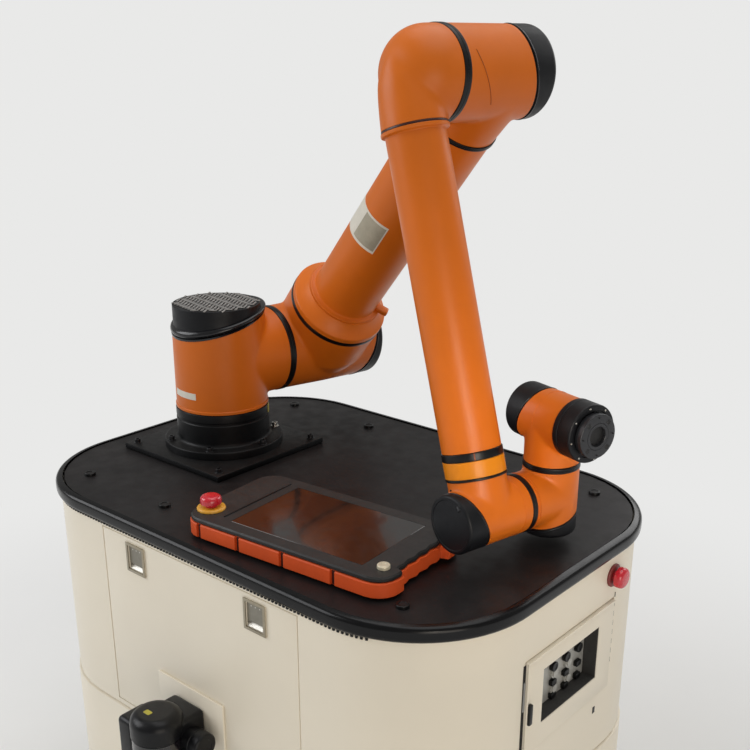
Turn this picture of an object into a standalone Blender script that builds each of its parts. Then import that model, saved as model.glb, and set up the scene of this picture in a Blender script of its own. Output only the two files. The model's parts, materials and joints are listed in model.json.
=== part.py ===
"""A six-axis orange robot arm bolted to the deck of a white cabinet cart, with its teach pendant.

Metres, +Z up. The origin is on the floor under the middle of the cart, and +X runs along the cart
to the end with the connector panel. The long sides with the lift-off doors face -Y and +Y.
"""
import math

import bmesh
import bpy
from mathutils import Matrix, Vector

X = Vector((1, 0, 0))
Y = Vector((0, 1, 0))
Z = Vector((0, 0, 1))
ALONG_Y = (-math.pi / 2, 0, 0)
ALONG_X = (0, math.pi / 2, 0)
ALONG_MINUS_X = (0, -math.pi / 2, 0)

# Fits and finish
CLEARANCE = 0.0003
TURNING_GAP = 0.0004
OVERRUN = 0.02
MERGE = 0.00001
ROUND_STEPS = 28
SMALL_STEPS = 16
CORNER_STEPS = 5
RIM_STEPS = 9
SOFT_EDGE = 0.0015

# Cart
DECK_HEIGHT = 0.72
DECK_LENGTH = 0.920
DECK_WIDTH = 0.636
DECK_CORNER = 0.189
TRIM_HEIGHT = 0.024
TRIM_WIDTH = 0.014
TRIM_EDGE = 0.006
DECK_THICKNESS = 0.012
DECK_SINK = 0.0015
WALL_INSET = 0.008
CABINET_DROP = 0.358
CHASSIS_SEAM = 0.003
CHASSIS_PROUD = 0.003
CHASSIS_BOTTOM = 0.075
CHASSIS_EDGE = 0.008

# Deck plugs
PLUG_RADIUS = 0.0085
PLUG_HEIGHT = 0.004
PLUG_END_INSET = 0.120
PLUG_SIDE_INSET = 0.076
PLUG_MIDDLE_SHARE = -0.42

# Levelling feet
FOOT_END_INSET = 0.145
FOOT_SIDE_INSET = 0.113
FOOT_PAD_RADIUS = 0.032
FOOT_PAD_HEIGHT = 0.014
FOOT_PAD_TOP_RADIUS = 0.020
FOOT_STEM_RADIUS = 0.008
FOOT_NUT_RADIUS = 0.015
FOOT_NUT_HEIGHT = 0.010

# Lift-off doors in the long sides
DOOR_WIDTH = 0.428
DOOR_TOP_DROP = 0.034
DOOR_BOTTOM_RISE = 0.010
DOOR_THICKNESS = 0.012
DOOR_SEAM = 0.002

# Recessed paddle latches
LATCH_ALONG = 0.133
LATCH_WIDTH = 0.042
LATCH_HEIGHT = 0.047
LATCH_DROP = 0.065
LATCH_BEZEL = 0.0035
LATCH_BEZEL_PROUD = 0.0012
LATCH_POCKET_DEPTH = 0.009
PADDLE_GAP = 0.0008
PADDLE_FINGER_GAP = 0.009
PADDLE_THICKNESS = 0.0022
PADDLE_SET_BACK = 0.0008
PADDLE_PIN_RADIUS = 0.0014

# Connector panel in the +X end
PANEL_WIDTH = 0.234
PANEL_TOP_DROP = 0.100
PANEL_HEIGHT = 0.150
PANEL_THICKNESS = 0.010
PANEL_PROUD = 0.0030
PANEL_SEAM = 0.0025
PANEL_CENTRE_Y = 0.0005
WINDOW_WIDTH = 0.150
WINDOW_HEIGHT = 0.087
WINDOW_DROP_IN_PANEL = 0.028
BAY_DEPTH = 0.014
BAY_FLOOR_THICKNESS = 0.004
BAY_EDGE_GAP = 0.004
SOCKET_RADIUS = 0.0085
SOCKET_HEIGHT = 0.006
SOCKET_CAP_RADIUS = 0.0060
SOCKET_CAP_HEIGHT = 0.0020
SOCKET_COLUMNS = 3
SOCKET_ROWS = 3
SOCKET_PITCH_ACROSS = 0.038
SOCKET_PITCH_UP = 0.026
SOCKET_SHIFT = -0.013
PULL_WIDTH = 0.008
PULL_HEIGHT = 0.032
PULL_DEPTH = 0.006
PULL_INSET = 0.002
PULL_DROP = 0.010

# Key slot under the panel
SLOT_ACROSS = 0.084
SLOT_DROP = 0.278
SLOT_WIDTH = 0.005
SLOT_HEIGHT = 0.010
SLOT_DEPTH = 0.008

# Stop buttons in both ends of the cart
STOP_Y = 0.110
STOP_DROP = 0.057
STOP_COLLAR_RADIUS = 0.0180
STOP_COLLAR_HEIGHT = 0.004
STOP_HEAD_RADIUS = 0.0160
STOP_HEAD_HEIGHT = 0.012
STOP_NECK_RADIUS = 0.0085
STOP_NECK_HEIGHT = 0.006
STOP_TRAVEL = 0.004

# Laser scanners on both long sides
SCANNER_ALONG = -0.020
SCANNER_DROP = 0.252
SCANNER_RADIUS = 0.046
SCANNER_HEIGHT = 0.112
SCANNER_EDGE = 0.014
SCANNER_BAND_TOP = 0.038
SCANNER_BAND_HEIGHT = 0.020
SCANNER_BAND_DEPTH = 0.003
SCANNER_REACH = 0.058
SCANNER_BACK_WIDTH = 0.070
SCANNER_BOX_WIDTH = 0.036
SCANNER_BOX_DEPTH = 0.050
SCANNER_BOX_HEIGHT = 0.072
SCANNER_BOX_DROP = 0.030
SCANNER_KNOB_RADIUS = 0.021
SCANNER_KNOB_REACH = 0.068
SCANNER_KNOB_DROP = 0.052
SCANNER_BRACKET_WIDTH = 0.150
SCANNER_BRACKET_HEIGHT = 0.104
SCANNER_BRACKET_THICKNESS = 0.004

# Arm: where it stands and how it is posed
ARM_END_INSET = 0.1851
ARM_Y = -0.0004
ARM_HEADING = math.radians(-11.44)
SHOULDER_LIFT = math.radians(47.1)
FOREARM_DROP = math.radians(72.6)
TOOL_HEADING = math.radians(-4.9)
MOUNT_PLATE_LENGTH = 0.250
MOUNT_PLATE_WIDTH = 0.250
MOUNT_PLATE_THICKNESS = 0.010

# Arm: link lengths
SHOULDER_HEIGHT = 0.1640
UPPER_ARM = 0.6500
FOREARM = 0.5940
UPPER_ARM_OFFSET = 0.2019
FOREARM_OFFSET = 0.0509
WRIST_OFFSET = 0.1305
WRIST_RISE = 0.1110
FLANGE_REACH = 0.0880

# Arm: base and shoulder
BASE_FLANGE_RADIUS = 0.104
BASE_FLANGE_HEIGHT = 0.014
BASE_NECK_RADIUS = 0.0815
BASE_TOP = 0.083
BASE_STEP = 0.004
SHOULDER_RADIUS = 0.0800
SHOULDER_EDGE = 0.004
CAP_TOP = 0.263
CAP_TAPER = 0.006
CAP_SEAM = 0.231
CAP_TILT = math.radians(15.0)
CAP_LIP = 0.0010
J2_RADIUS = 0.0755
J2_RING_CENTRE = 0.1043
RING_WIDTH = 0.0120
RING_LIP = 0.0010

# Arm: upper arm
J2_CAP_SEAM = 0.2700
J2_CAP_END = 0.3035
J2_BODY_RADIUS = 0.0775
CAP_EDGE = 0.010
COLLAR_START = 0.1010
COLLAR_RADIUS = 0.0860
COLLAR_LINE = 0.0040
COLLAR_LIP = 0.0180
COLLAR_STEP = 0.0040
COLLAR_END_RADIUS = 0.0665
COLLAR_LENGTH = 0.0440
UPPER_TUBE_RADIUS = 0.0582
ELBOW_RING_RISE = 0.0840
ELBOW_RING_WIDTH = 0.0070
ELBOW_RING_LIP = 0.0030

# Arm: elbow
J3_RADIUS = 0.0645
J3_CAP_SEAM = 0.2400
J3_CAP_END = 0.2710
BULB_CENTRE = 0.0320
BULB_REACH = 0.0600
BULB_NECK = 0.0670
BULB_NECK_RADIUS = 0.0455
BULB_NECK_SHARES = ((0.945, 0.57), (0.885, 0.24), (0.80, 0.0), (0.48, -0.45))
BULB_CROWN_SHARE = -0.70
BULB_LINE = 0.0045
BULB_LIP = 0.0045

# Arm: forearm
FORE_TUBE_RADIUS = 0.0412
BAND_START = 0.0920
BAND_WIDTH = 0.0110
BAND_LIP = 0.0012
SLEEVE_END = 0.0553
SLEEVE_LIP = 0.0010
J4_LINE = 0.0030
J4_RADIUS = 0.0415
J4_CAP_SEAM = 0.0310
J4_CAP_END = 0.0605
J4_RING_CENTRE = 0.0605
J4_RING_WIDTH = 0.0090

# Arm: wrist
WRIST_CAP_TILT = math.radians(19.0)
J5_RADIUS = 0.0405
J5_CAP_SEAM = 0.0310
J5_CAP_END = 0.0580
J5_RING_CENTRE = 0.0465
J5_RING_WIDTH = 0.0080
J6_RADIUS = 0.0400
J6_CAP_SEAM = 0.0300
J6_CAP_END = 0.0600
J6_FRONT_START = 0.0420
J6_FRONT_RADIUS = 0.0415
J6_FRONT_END = 0.0760
FLANGE_RADIUS = 0.0315
FLANGE_BORE_RADIUS = 0.0140
FLANGE_BORE_DEPTH = 0.0060
FLANGE_BOLT_CIRCLE = 0.0250
FLANGE_BOLT_RADIUS = 0.0030
FLANGE_BOLT_DEPTH = 0.0060
FLANGE_BOLT_COUNT = 4
FLANGE_PIN_RADIUS = 0.0015

# Teach pendant lying on the deck
PENDANT_SLACK_SHARE = 0.5694
CORNER_ROOM_SHARE = 0.293
PENDANT_SIDE_INSET = 0.1428
PENDANT_TURN = math.radians(5.0)
PENDANT_LENGTH = 0.349
PENDANT_WIDTH = 0.182
PENDANT_HEIGHT = 0.034
PENDANT_CORNER = 0.024
PENDANT_CORNER_STEPS = 5
PENDANT_LIP_INSET = 0.0015
PENDANT_LIP_EDGE = 0.0020
PENDANT_SCREEN_LENGTH = 0.236
PENDANT_SCREEN_WIDTH = 0.152
PENDANT_SCREEN_SHIFT = 0.012
PENDANT_SCREEN_DEPTH = 0.0012
BUMPER_WIDTH = 0.009
BUMPER_HEIGHT = 0.022
BUMPER_LIFT = 0.004
BUMPER_NOTCH_WIDTH = 0.008
BUMPER_NOTCH_DEPTH = 0.004
BUMPER_NOTCH_SHARES = (-0.85, -0.42, 0.05, 0.56)

# Finger grip in the pendant's +X end
GRIP_WIDTH = 0.128
GRIP_DEPTH = 0.012
GRIP_SLOPE = 0.004
GRIP_WAVE = 0.003
GRIP_FINGERS = 4

# Stop button and key on the pendant
PENDANT_STOP_SHARES = (-0.915, -0.66)
PENDANT_COLLAR_RADIUS = 0.0215
KEY_RADIUS = 0.009
KEY_HEIGHT = 0.006
KEY_SHARES = (0.90, -0.72)

MATERIALS = {
    "white_paint": ((0.80, 0.77, 0.70), 0.42, 0.0),
    "orange_paint": ((0.86, 0.27, 0.05), 0.38, 0.0),
    "black_plastic": ((0.022, 0.022, 0.024), 0.50, 0.0),
    "deck_paint": ((0.055, 0.050, 0.050), 0.55, 0.0),
    "dark_steel": ((0.070, 0.070, 0.072), 0.48, 0.6),
    "grey_plate": ((0.32, 0.33, 0.33), 0.50, 0.2),
    "bright_steel": ((0.62, 0.62, 0.62), 0.30, 1.0),
    "flange_alloy": ((0.33, 0.33, 0.34), 0.38, 0.8),
    "red_plastic": ((0.62, 0.03, 0.03), 0.35, 0.0),
    "yellow_plastic": ((0.80, 0.55, 0.06), 0.45, 0.0),
    "bumper_rubber": ((0.72, 0.15, 0.06), 0.60, 0.0),
}

MODEL = None
TOOLS = None


def material(name):
    """The named material, made once from the table above."""
    found = bpy.data.materials.get(name)
    if found:
        return found
    made = bpy.data.materials.new(name)
    made.use_nodes = True
    colour, roughness, metallic = MATERIALS[name]
    shader = made.node_tree.nodes["Principled BSDF"]
    shader.inputs["Base Color"].default_value = (*colour, 1.0)
    shader.inputs["Roughness"].default_value = roughness
    shader.inputs["Metallic"].default_value = metallic
    made.diffuse_color = (*colour, 1.0)
    return made


def pivot(name, parent=None, location=(0, 0, 0), rotation=(0, 0, 0)):
    """An empty that carries the pieces turning about one axis."""
    empty = bpy.data.objects.new(name, None)
    MODEL.objects.link(empty)
    empty.parent = parent
    empty.location = location
    empty.rotation_euler = rotation
    return empty


def add(name, mesh, finish, parent=None, location=(0, 0, 0), rotation=(0, 0, 0)):
    """A visible sub-part, or a hidden tool when it has no finish."""
    obj = bpy.data.objects.new(name, mesh)
    if finish:
        MODEL.objects.link(obj)
        mesh.materials.append(material(finish))
    else:
        TOOLS.objects.link(obj)
        obj.hide_render = True
        obj.display_type = "WIRE"
    obj.parent = parent
    obj.location = location
    obj.rotation_euler = rotation
    return obj


def smooth(obj, angle=math.radians(32.0)):
    """Round pieces are shaded smooth, with their real edges kept sharp."""
    obj.data.shade_smooth()
    obj.data.set_sharp_from_angle(angle=angle)


def turned(name, finish, profile, parent=None, location=(0, 0, 0), rotation=(0, 0, 0), steps=ROUND_STEPS):
    """A solid of revolution about local Z. The profile runs (radius, height) from the top down."""
    mesh = bpy.data.meshes.new(name)
    points = [(radius, 0, height) for radius, height in profile]
    mesh.from_pydata(points, [(i, i + 1) for i in range(len(points) - 1)], [])
    obj = add(name, mesh, finish, parent, location, rotation)
    screw = obj.modifiers.new("Turn", "SCREW")
    screw.axis = "Z"
    screw.steps = steps
    screw.render_steps = steps
    screw.use_merge_vertices = True
    screw.merge_threshold = MERGE
    screw.use_smooth_shade = True
    return obj


def disc_profile(radius, top, bottom, edge=0.0, foot=0.0):
    """Profile of a plain disc with chamfers of its own at the top edge and the bottom edge."""
    points = [(0, top)]
    if edge:
        points += [(radius - edge, top), (radius, top - edge)]
    else:
        points += [(radius, top)]
    if foot:
        points += [(radius, bottom + foot), (radius - foot, bottom)]
    else:
        points += [(radius, bottom)]
    return points + [(0, bottom)]


def round_profile(radius, top, bottom, edge, turns=3):
    """Profile of a disc whose top edge is a quarter circle."""
    arc = [
        (radius - edge + edge * math.sin(a), top - edge + edge * math.cos(a))
        for a in (math.pi / 2 * i / turns for i in range(turns + 1))
    ]
    return [(0, top)] + arc + [(radius, bottom), (0, bottom)]


def slab(name, finish, length, width, height, corner=0.0, edge=0.0, parent=None, location=(0, 0, 0),
         rotation=(0, 0, 0), steps=CORNER_STEPS):
    """A block centred on its location, with round upright corners and softened edges."""
    shape = bmesh.new()
    bmesh.ops.create_cube(shape, size=1.0, matrix=Matrix.Diagonal((length, width, height, 1.0)))
    if corner:
        upright = [e for e in shape.edges if abs(e.verts[0].co.z - e.verts[1].co.z) > height / 2]
        bmesh.ops.bevel(shape, geom=upright, offset=corner, segments=steps, profile=0.5, affect="EDGES")
    mesh = bpy.data.meshes.new(name)
    shape.to_mesh(mesh)
    shape.free()
    obj = add(name, mesh, finish, parent, location, rotation)
    if edge:
        soften(obj, edge)
    return obj


def soften(obj, width, segments=2, angle=math.radians(40.0)):
    """Rounds the hard edges of a block."""
    bevel = obj.modifiers.new("Soften", "BEVEL")
    bevel.width = width
    bevel.segments = segments
    bevel.limit_method = "ANGLE"
    bevel.angle_limit = angle
    return bevel


def boolean(obj, other, operation):
    """Cuts the other piece out of this one, joins it on, or keeps what both share."""
    change = obj.modifiers.new(operation.title(), "BOOLEAN")
    change.operation = operation
    change.object = other
    return obj


def half_space(name, parent, height, tilt, size, above=True):
    """A hidden block whose lower or upper face is the plane at this height, tilted about local X."""
    shift = size / 2 if above else -size / 2
    turn = Matrix.Rotation(tilt, 3, "X")
    centre = Vector((0, 0, height)) + turn @ Vector((0, 0, shift))
    return slab(name, None, size, size, size, parent=parent, location=centre, rotation=(tilt, 0, 0))


def facing(toward, branch):
    """Rotation that points local Z along one direction and local Y along another at right angles."""
    across = branch.cross(toward)
    return Matrix((across, branch, toward)).transposed().to_euler()


def slanted_cap(name, housing, frame, location, toward, branch, radius, seam, end, edge, tilt=CAP_TILT):
    """Ends a housing in a plane slanted outward on its branch side, and closes it with a black cap."""
    seat = pivot(name + "_seat", frame, location, facing(toward, branch))
    beyond = half_space(name + "_cut", seat, seam, tilt, 4 * radius)
    boolean(housing, beyond, "DIFFERENCE")
    cap = turned(name, "black_plastic", round_profile(radius + CAP_LIP, end, seam - radius, edge), parent=seat)
    lift = CLEARANCE / math.cos(tilt)
    inside = half_space(name + "_trim", seat, seam + lift, tilt, 4 * radius, above=False)
    boolean(cap, inside, "DIFFERENCE")


def wall_y():
    """Distance of the cabinet's long walls from the cart's middle."""
    return DECK_WIDTH / 2 - WALL_INSET


def wall_x():
    """Distance of the cabinet's end walls from the cart's middle."""
    return DECK_LENGTH / 2 - WALL_INSET


def arm_x():
    """Place of the arm along the cart, from its rear end."""
    return ARM_END_INSET - DECK_LENGTH / 2


def foot_places():
    """Places of the levelling feet along and across the cart."""
    return DECK_LENGTH / 2 - FOOT_END_INSET, DECK_WIDTH / 2 - FOOT_SIDE_INSET


def cabinet_bottom():
    """Height of the seam between the cabinet and the lower body."""
    return DECK_HEIGHT - CABINET_DROP


def cabinet_top():
    """Height of the cabinet's top, just under the deck and its trim."""
    return DECK_HEIGHT - TRIM_HEIGHT - CLEARANCE


def door_height():
    """Height of a door, between its seams."""
    return DECK_HEIGHT - DOOR_TOP_DROP - cabinet_bottom() - DOOR_BOTTOM_RISE


def door_middle():
    """Height of a door's centre above the floor."""
    return cabinet_bottom() + DOOR_BOTTOM_RISE + door_height() / 2


def build_cabinet():
    """White sheet-metal cabinet with its door recesses, end bay and stop-button seats."""
    height = cabinet_top() - cabinet_bottom()
    body = slab("cabinet_shell", "white_paint", 2 * wall_x(), 2 * wall_y(), height,
                DECK_CORNER - WALL_INSET, location=(0, 0, cabinet_bottom() + height / 2), steps=RIM_STEPS)
    for side in (-1, 1):
        recess = slab("door_recess", None, DOOR_WIDTH + 2 * DOOR_SEAM, 2 * (DOOR_THICKNESS + CLEARANCE),
                      door_height() + 2 * DOOR_SEAM, location=(0, side * wall_y(), door_middle()))
        boolean(body, recess, "DIFFERENCE")
        for place in (-1, 1):
            pocket = slab("latch_well", None, LATCH_WIDTH, 2 * (DOOR_THICKNESS + LATCH_POCKET_DEPTH),
                          LATCH_HEIGHT,
                          location=(place * LATCH_ALONG, side * wall_y(), DECK_HEIGHT - LATCH_DROP))
            boolean(body, pocket, "DIFFERENCE")
    panel_z = DECK_HEIGHT - PANEL_TOP_DROP - PANEL_HEIGHT / 2
    seat = slab("panel_recess", None, 2 * (PANEL_THICKNESS + CLEARANCE - PANEL_PROUD),
                PANEL_WIDTH + 2 * PANEL_SEAM, PANEL_HEIGHT + 2 * PANEL_SEAM,
                location=(wall_x(), PANEL_CENTRE_Y, panel_z))
    boolean(body, seat, "DIFFERENCE")
    bay = slab("bay_recess", None, 2 * (PANEL_THICKNESS + BAY_DEPTH), WINDOW_WIDTH + 2 * BAY_EDGE_GAP,
               WINDOW_HEIGHT + 2 * BAY_EDGE_GAP,
               location=(wall_x(), PANEL_CENTRE_Y, window_middle()))
    boolean(body, bay, "DIFFERENCE")
    slot = slab("key_slot", None, 2 * SLOT_DEPTH, SLOT_WIDTH, SLOT_HEIGHT,
                location=(wall_x(), SLOT_ACROSS, DECK_HEIGHT - SLOT_DROP))
    boolean(body, slot, "DIFFERENCE")
    deep = STOP_NECK_HEIGHT + STOP_TRAVEL
    for end in (-1, 1):
        hole = turned("stop_hole", None, disc_profile(STOP_NECK_RADIUS + CLEARANCE, deep, -deep),
                      location=(end * wall_x(), end * STOP_Y, DECK_HEIGHT - STOP_DROP), rotation=ALONG_X,
                      steps=SMALL_STEPS)
        boolean(body, hole, "DIFFERENCE")
    return body


def window_middle():
    """Height of the connector window's centre above the floor."""
    return DECK_HEIGHT - PANEL_TOP_DROP - WINDOW_DROP_IN_PANEL - WINDOW_HEIGHT / 2


def build_chassis():
    """Lower body of the cart, slightly wider than the cabinet, down to the levelling feet."""
    top = cabinet_bottom() - CHASSIS_SEAM
    height = top - CHASSIS_BOTTOM
    step = slab("chassis_neck", None, 2 * (wall_x() - CHASSIS_EDGE), 2 * (wall_y() - CHASSIS_EDGE),
                2 * (CHASSIS_SEAM - CLEARANCE), DECK_CORNER - WALL_INSET - CHASSIS_EDGE,
                location=(0, 0, top))
    body = slab("chassis_skirt", "white_paint", 2 * (wall_x() + CHASSIS_PROUD), 2 * (wall_y() + CHASSIS_PROUD),
                height, DECK_CORNER - WALL_INSET + CHASSIS_PROUD,
                location=(0, 0, CHASSIS_BOTTOM + height / 2), steps=RIM_STEPS)
    soften(body, SOFT_EDGE)
    boolean(body, step, "UNION")
    return body


def build_feet():
    """Four levelling feet under the chassis: a pad, a stem and its lock nut."""
    stem_top = CHASSIS_BOTTOM - CLEARANCE
    along, across = foot_places()
    profile = [
        (0, stem_top),
        (FOOT_NUT_RADIUS, stem_top),
        (FOOT_NUT_RADIUS, stem_top - FOOT_NUT_HEIGHT),
        (FOOT_STEM_RADIUS, stem_top - FOOT_NUT_HEIGHT),
        (FOOT_STEM_RADIUS, 2 * FOOT_PAD_HEIGHT),
        (FOOT_PAD_TOP_RADIUS, FOOT_PAD_HEIGHT),
        (FOOT_PAD_RADIUS, FOOT_PAD_HEIGHT / 2),
        (FOOT_PAD_RADIUS, 0),
        (0, 0),
    ]
    for end, end_name in ((1, "front"), (-1, "rear")):
        for side, side_name in ((-1, "left"), (1, "right")):
            turned("foot_%s_%s" % (end_name, side_name), "dark_steel", profile,
                   location=(end * along, side * across, 0), steps=SMALL_STEPS)


def build_doors():
    """Lift-off doors, each with two pressed latch cups and the paddles hinged in them."""
    latch_z = DECK_HEIGHT - LATCH_DROP - door_middle()
    for side, name in ((-1, "left"), (1, "right")):
        face = pivot("door_face_" + name, location=(0, side * wall_y(), door_middle()),
                     rotation=(0, 0, 0 if side < 0 else math.pi))
        door = slab("door_" + name, "white_paint", DOOR_WIDTH, DOOR_THICKNESS, door_height(), parent=face,
                    location=(0, DOOR_THICKNESS / 2, 0))
        soften(door, SOFT_EDGE / 2)
        for place, which in ((-1, "a"), (1, "b")):
            build_latch(face, door, "%s_%s" % (name, which), place * LATCH_ALONG, latch_z)


def build_latch(face, door, name, x, z):
    """One flush latch: a flanged cup pressed into the door, and the paddle hinged at its top."""
    depth = DOOR_THICKNESS + LATCH_POCKET_DEPTH - CLEARANCE
    inner_width = LATCH_WIDTH - 2 * LATCH_BEZEL
    inner_height = LATCH_HEIGHT - 2 * LATCH_BEZEL
    cup = slab("latch_cup", None, LATCH_WIDTH - 2 * CLEARANCE, depth, LATCH_HEIGHT - 2 * CLEARANCE, parent=face,
               location=(x, depth / 2, z))
    boolean(door, cup, "UNION")
    bezel = slab("latch_bezel", None, LATCH_WIDTH, 2 * LATCH_BEZEL_PROUD, LATCH_HEIGHT, parent=face,
                 location=(x, 0, z))
    boolean(door, bezel, "UNION")
    hollow = slab("latch_hollow", None, inner_width, 2 * (depth - LATCH_BEZEL), inner_height, parent=face,
                  location=(x, 0, z))
    boolean(door, hollow, "DIFFERENCE")
    hinge_z = z + inner_height / 2 - PADDLE_GAP - PADDLE_PIN_RADIUS
    hinge_y = PADDLE_SET_BACK + PADDLE_PIN_RADIUS
    hinge = pivot("latch_hinge_" + name, face, (x, hinge_y, hinge_z))
    length = inner_height - PADDLE_FINGER_GAP - PADDLE_GAP - PADDLE_PIN_RADIUS
    width = inner_width - 2 * PADDLE_GAP
    paddle = slab("latch_paddle_" + name, "bright_steel", width, PADDLE_THICKNESS, length, parent=hinge,
                  location=(0, PADDLE_THICKNESS / 2 - PADDLE_PIN_RADIUS, -length / 2))
    roll = turned("paddle_roll", None, disc_profile(PADDLE_PIN_RADIUS, width / 2, -width / 2), parent=hinge,
                  rotation=ALONG_X, steps=SMALL_STEPS)
    boolean(paddle, roll, "UNION")


def build_connector_panel():
    """Cover plate with its window, the socket plate behind it, and the pull at its left edge."""
    panel_z = DECK_HEIGHT - PANEL_TOP_DROP - PANEL_HEIGHT / 2
    outer_x = wall_x() + PANEL_PROUD
    panel = slab("connector_panel", "white_paint", PANEL_THICKNESS, PANEL_WIDTH, PANEL_HEIGHT,
                 location=(outer_x - PANEL_THICKNESS / 2, PANEL_CENTRE_Y, panel_z))
    soften(panel, SOFT_EDGE / 2)
    window = slab("window_cut", None, 3 * PANEL_THICKNESS, WINDOW_WIDTH, WINDOW_HEIGHT,
                  location=(outer_x, PANEL_CENTRE_Y, window_middle()))
    boolean(panel, window, "DIFFERENCE")
    back_x = wall_x() - PANEL_THICKNESS - BAY_DEPTH + CLEARANCE
    plate = slab("connector_plate", "grey_plate", BAY_FLOOR_THICKNESS,
                 WINDOW_WIDTH + 2 * (BAY_EDGE_GAP - CLEARANCE), WINDOW_HEIGHT + 2 * (BAY_EDGE_GAP - CLEARANCE),
                 location=(back_x + BAY_FLOOR_THICKNESS / 2, PANEL_CENTRE_Y, window_middle()))
    face_x = back_x + BAY_FLOOR_THICKNESS
    for column in range(SOCKET_COLUMNS):
        for row in range(SOCKET_ROWS):
            y = PANEL_CENTRE_Y + SOCKET_SHIFT + (column - (SOCKET_COLUMNS - 1) / 2) * SOCKET_PITCH_ACROSS
            z = window_middle() + (row - (SOCKET_ROWS - 1) / 2) * SOCKET_PITCH_UP
            socket = turned("socket", None, socket_profile(), location=(face_x, y, z), rotation=ALONG_X,
                            steps=SMALL_STEPS)
            boolean(plate, socket, "UNION")
    pull_y = PANEL_CENTRE_Y - PANEL_WIDTH / 2 + PULL_INSET + PULL_WIDTH / 2
    slab("panel_pull", "black_plastic", PULL_DEPTH, PULL_WIDTH, PULL_HEIGHT,
         edge=SOFT_EDGE, location=(outer_x + CLEARANCE + PULL_DEPTH / 2, pull_y, window_middle() - PULL_DROP))


def socket_profile():
    """A round socket closed with its screwed dust cap."""
    return [
        (0, SOCKET_HEIGHT),
        (SOCKET_CAP_RADIUS, SOCKET_HEIGHT),
        (SOCKET_CAP_RADIUS, SOCKET_HEIGHT - SOCKET_CAP_HEIGHT),
        (SOCKET_RADIUS, SOCKET_HEIGHT - SOCKET_CAP_HEIGHT),
        (SOCKET_RADIUS, -BAY_FLOOR_THICKNESS / 2),
        (0, -BAY_FLOOR_THICKNESS / 2),
    ]


def build_deck():
    """Dark deck plate with its plugs, inside a black edge trim that caps the cabinet."""
    trim = slab("edge_trim", "black_plastic", DECK_LENGTH, DECK_WIDTH, TRIM_HEIGHT, DECK_CORNER,
                location=(0, 0, DECK_HEIGHT - TRIM_HEIGHT / 2), steps=RIM_STEPS)
    soften(trim, TRIM_EDGE, segments=3)
    inner_length = DECK_LENGTH - 2 * TRIM_WIDTH
    inner_width = DECK_WIDTH - 2 * TRIM_WIDTH
    opening = slab("trim_opening", None, inner_length, inner_width, 2 * TRIM_HEIGHT, DECK_CORNER - TRIM_WIDTH,
                   location=(0, 0, DECK_HEIGHT - TRIM_HEIGHT / 2), steps=RIM_STEPS)
    boolean(trim, opening, "DIFFERENCE")
    height = TRIM_HEIGHT - DECK_SINK
    plate = slab("deck_plate", "deck_paint", inner_length - 2 * CLEARANCE, inner_width - 2 * CLEARANCE, height,
                 DECK_CORNER - TRIM_WIDTH - CLEARANCE, location=(0, 0, DECK_HEIGHT - TRIM_HEIGHT + height / 2),
                 steps=RIM_STEPS)
    along, across = DECK_LENGTH / 2 - PLUG_END_INSET, DECK_WIDTH / 2 - PLUG_SIDE_INSET
    places = [(end * along, side * across) for end in (-1, PLUG_MIDDLE_SHARE, 1) for side in (-1, 1)]
    for x, y in places:
        plug = turned("deck_plug", None, disc_profile(PLUG_RADIUS, PLUG_HEIGHT, -PLUG_HEIGHT, SOFT_EDGE),
                      location=(x, y, DECK_HEIGHT - DECK_SINK), steps=SMALL_STEPS)
        boolean(plate, plug, "UNION")


def deck_top():
    """Height of the deck plate's upper face."""
    return DECK_HEIGHT - DECK_SINK


def build_stops():
    """A red mushroom stop button on its grey collar in each end of the cart."""
    for end, name in ((1, "front"), (-1, "rear")):
        seat = pivot("stop_axis_" + name, location=(end * wall_x(), end * STOP_Y, DECK_HEIGHT - STOP_DROP),
                     rotation=ALONG_X if end > 0 else ALONG_MINUS_X)
        collar = turned("stop_collar_" + name, "dark_steel",
                        disc_profile(STOP_COLLAR_RADIUS, STOP_COLLAR_HEIGHT, CLEARANCE, SOFT_EDGE), parent=seat,
                        steps=SMALL_STEPS)
        bore = turned("collar_bore", None,
                      disc_profile(STOP_NECK_RADIUS + CLEARANCE, 2 * STOP_COLLAR_HEIGHT, -STOP_COLLAR_HEIGHT),
                      parent=seat, steps=SMALL_STEPS)
        boolean(collar, bore, "DIFFERENCE")
        turned("stop_button_" + name, "red_plastic", stop_profile(STOP_COLLAR_HEIGHT), parent=seat,
               steps=SMALL_STEPS)


def stop_profile(seat):
    """A mushroom head on its neck; the head stands clear of the collar by the button's travel."""
    under = seat + STOP_TRAVEL + SOFT_EDGE
    top = under + STOP_HEAD_HEIGHT
    dome = round_profile(STOP_HEAD_RADIUS, top, under, STOP_HEAD_HEIGHT / 2)
    return dome[:-1] + [(STOP_NECK_RADIUS, under), (STOP_NECK_RADIUS, 0), (0, 0)]


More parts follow.
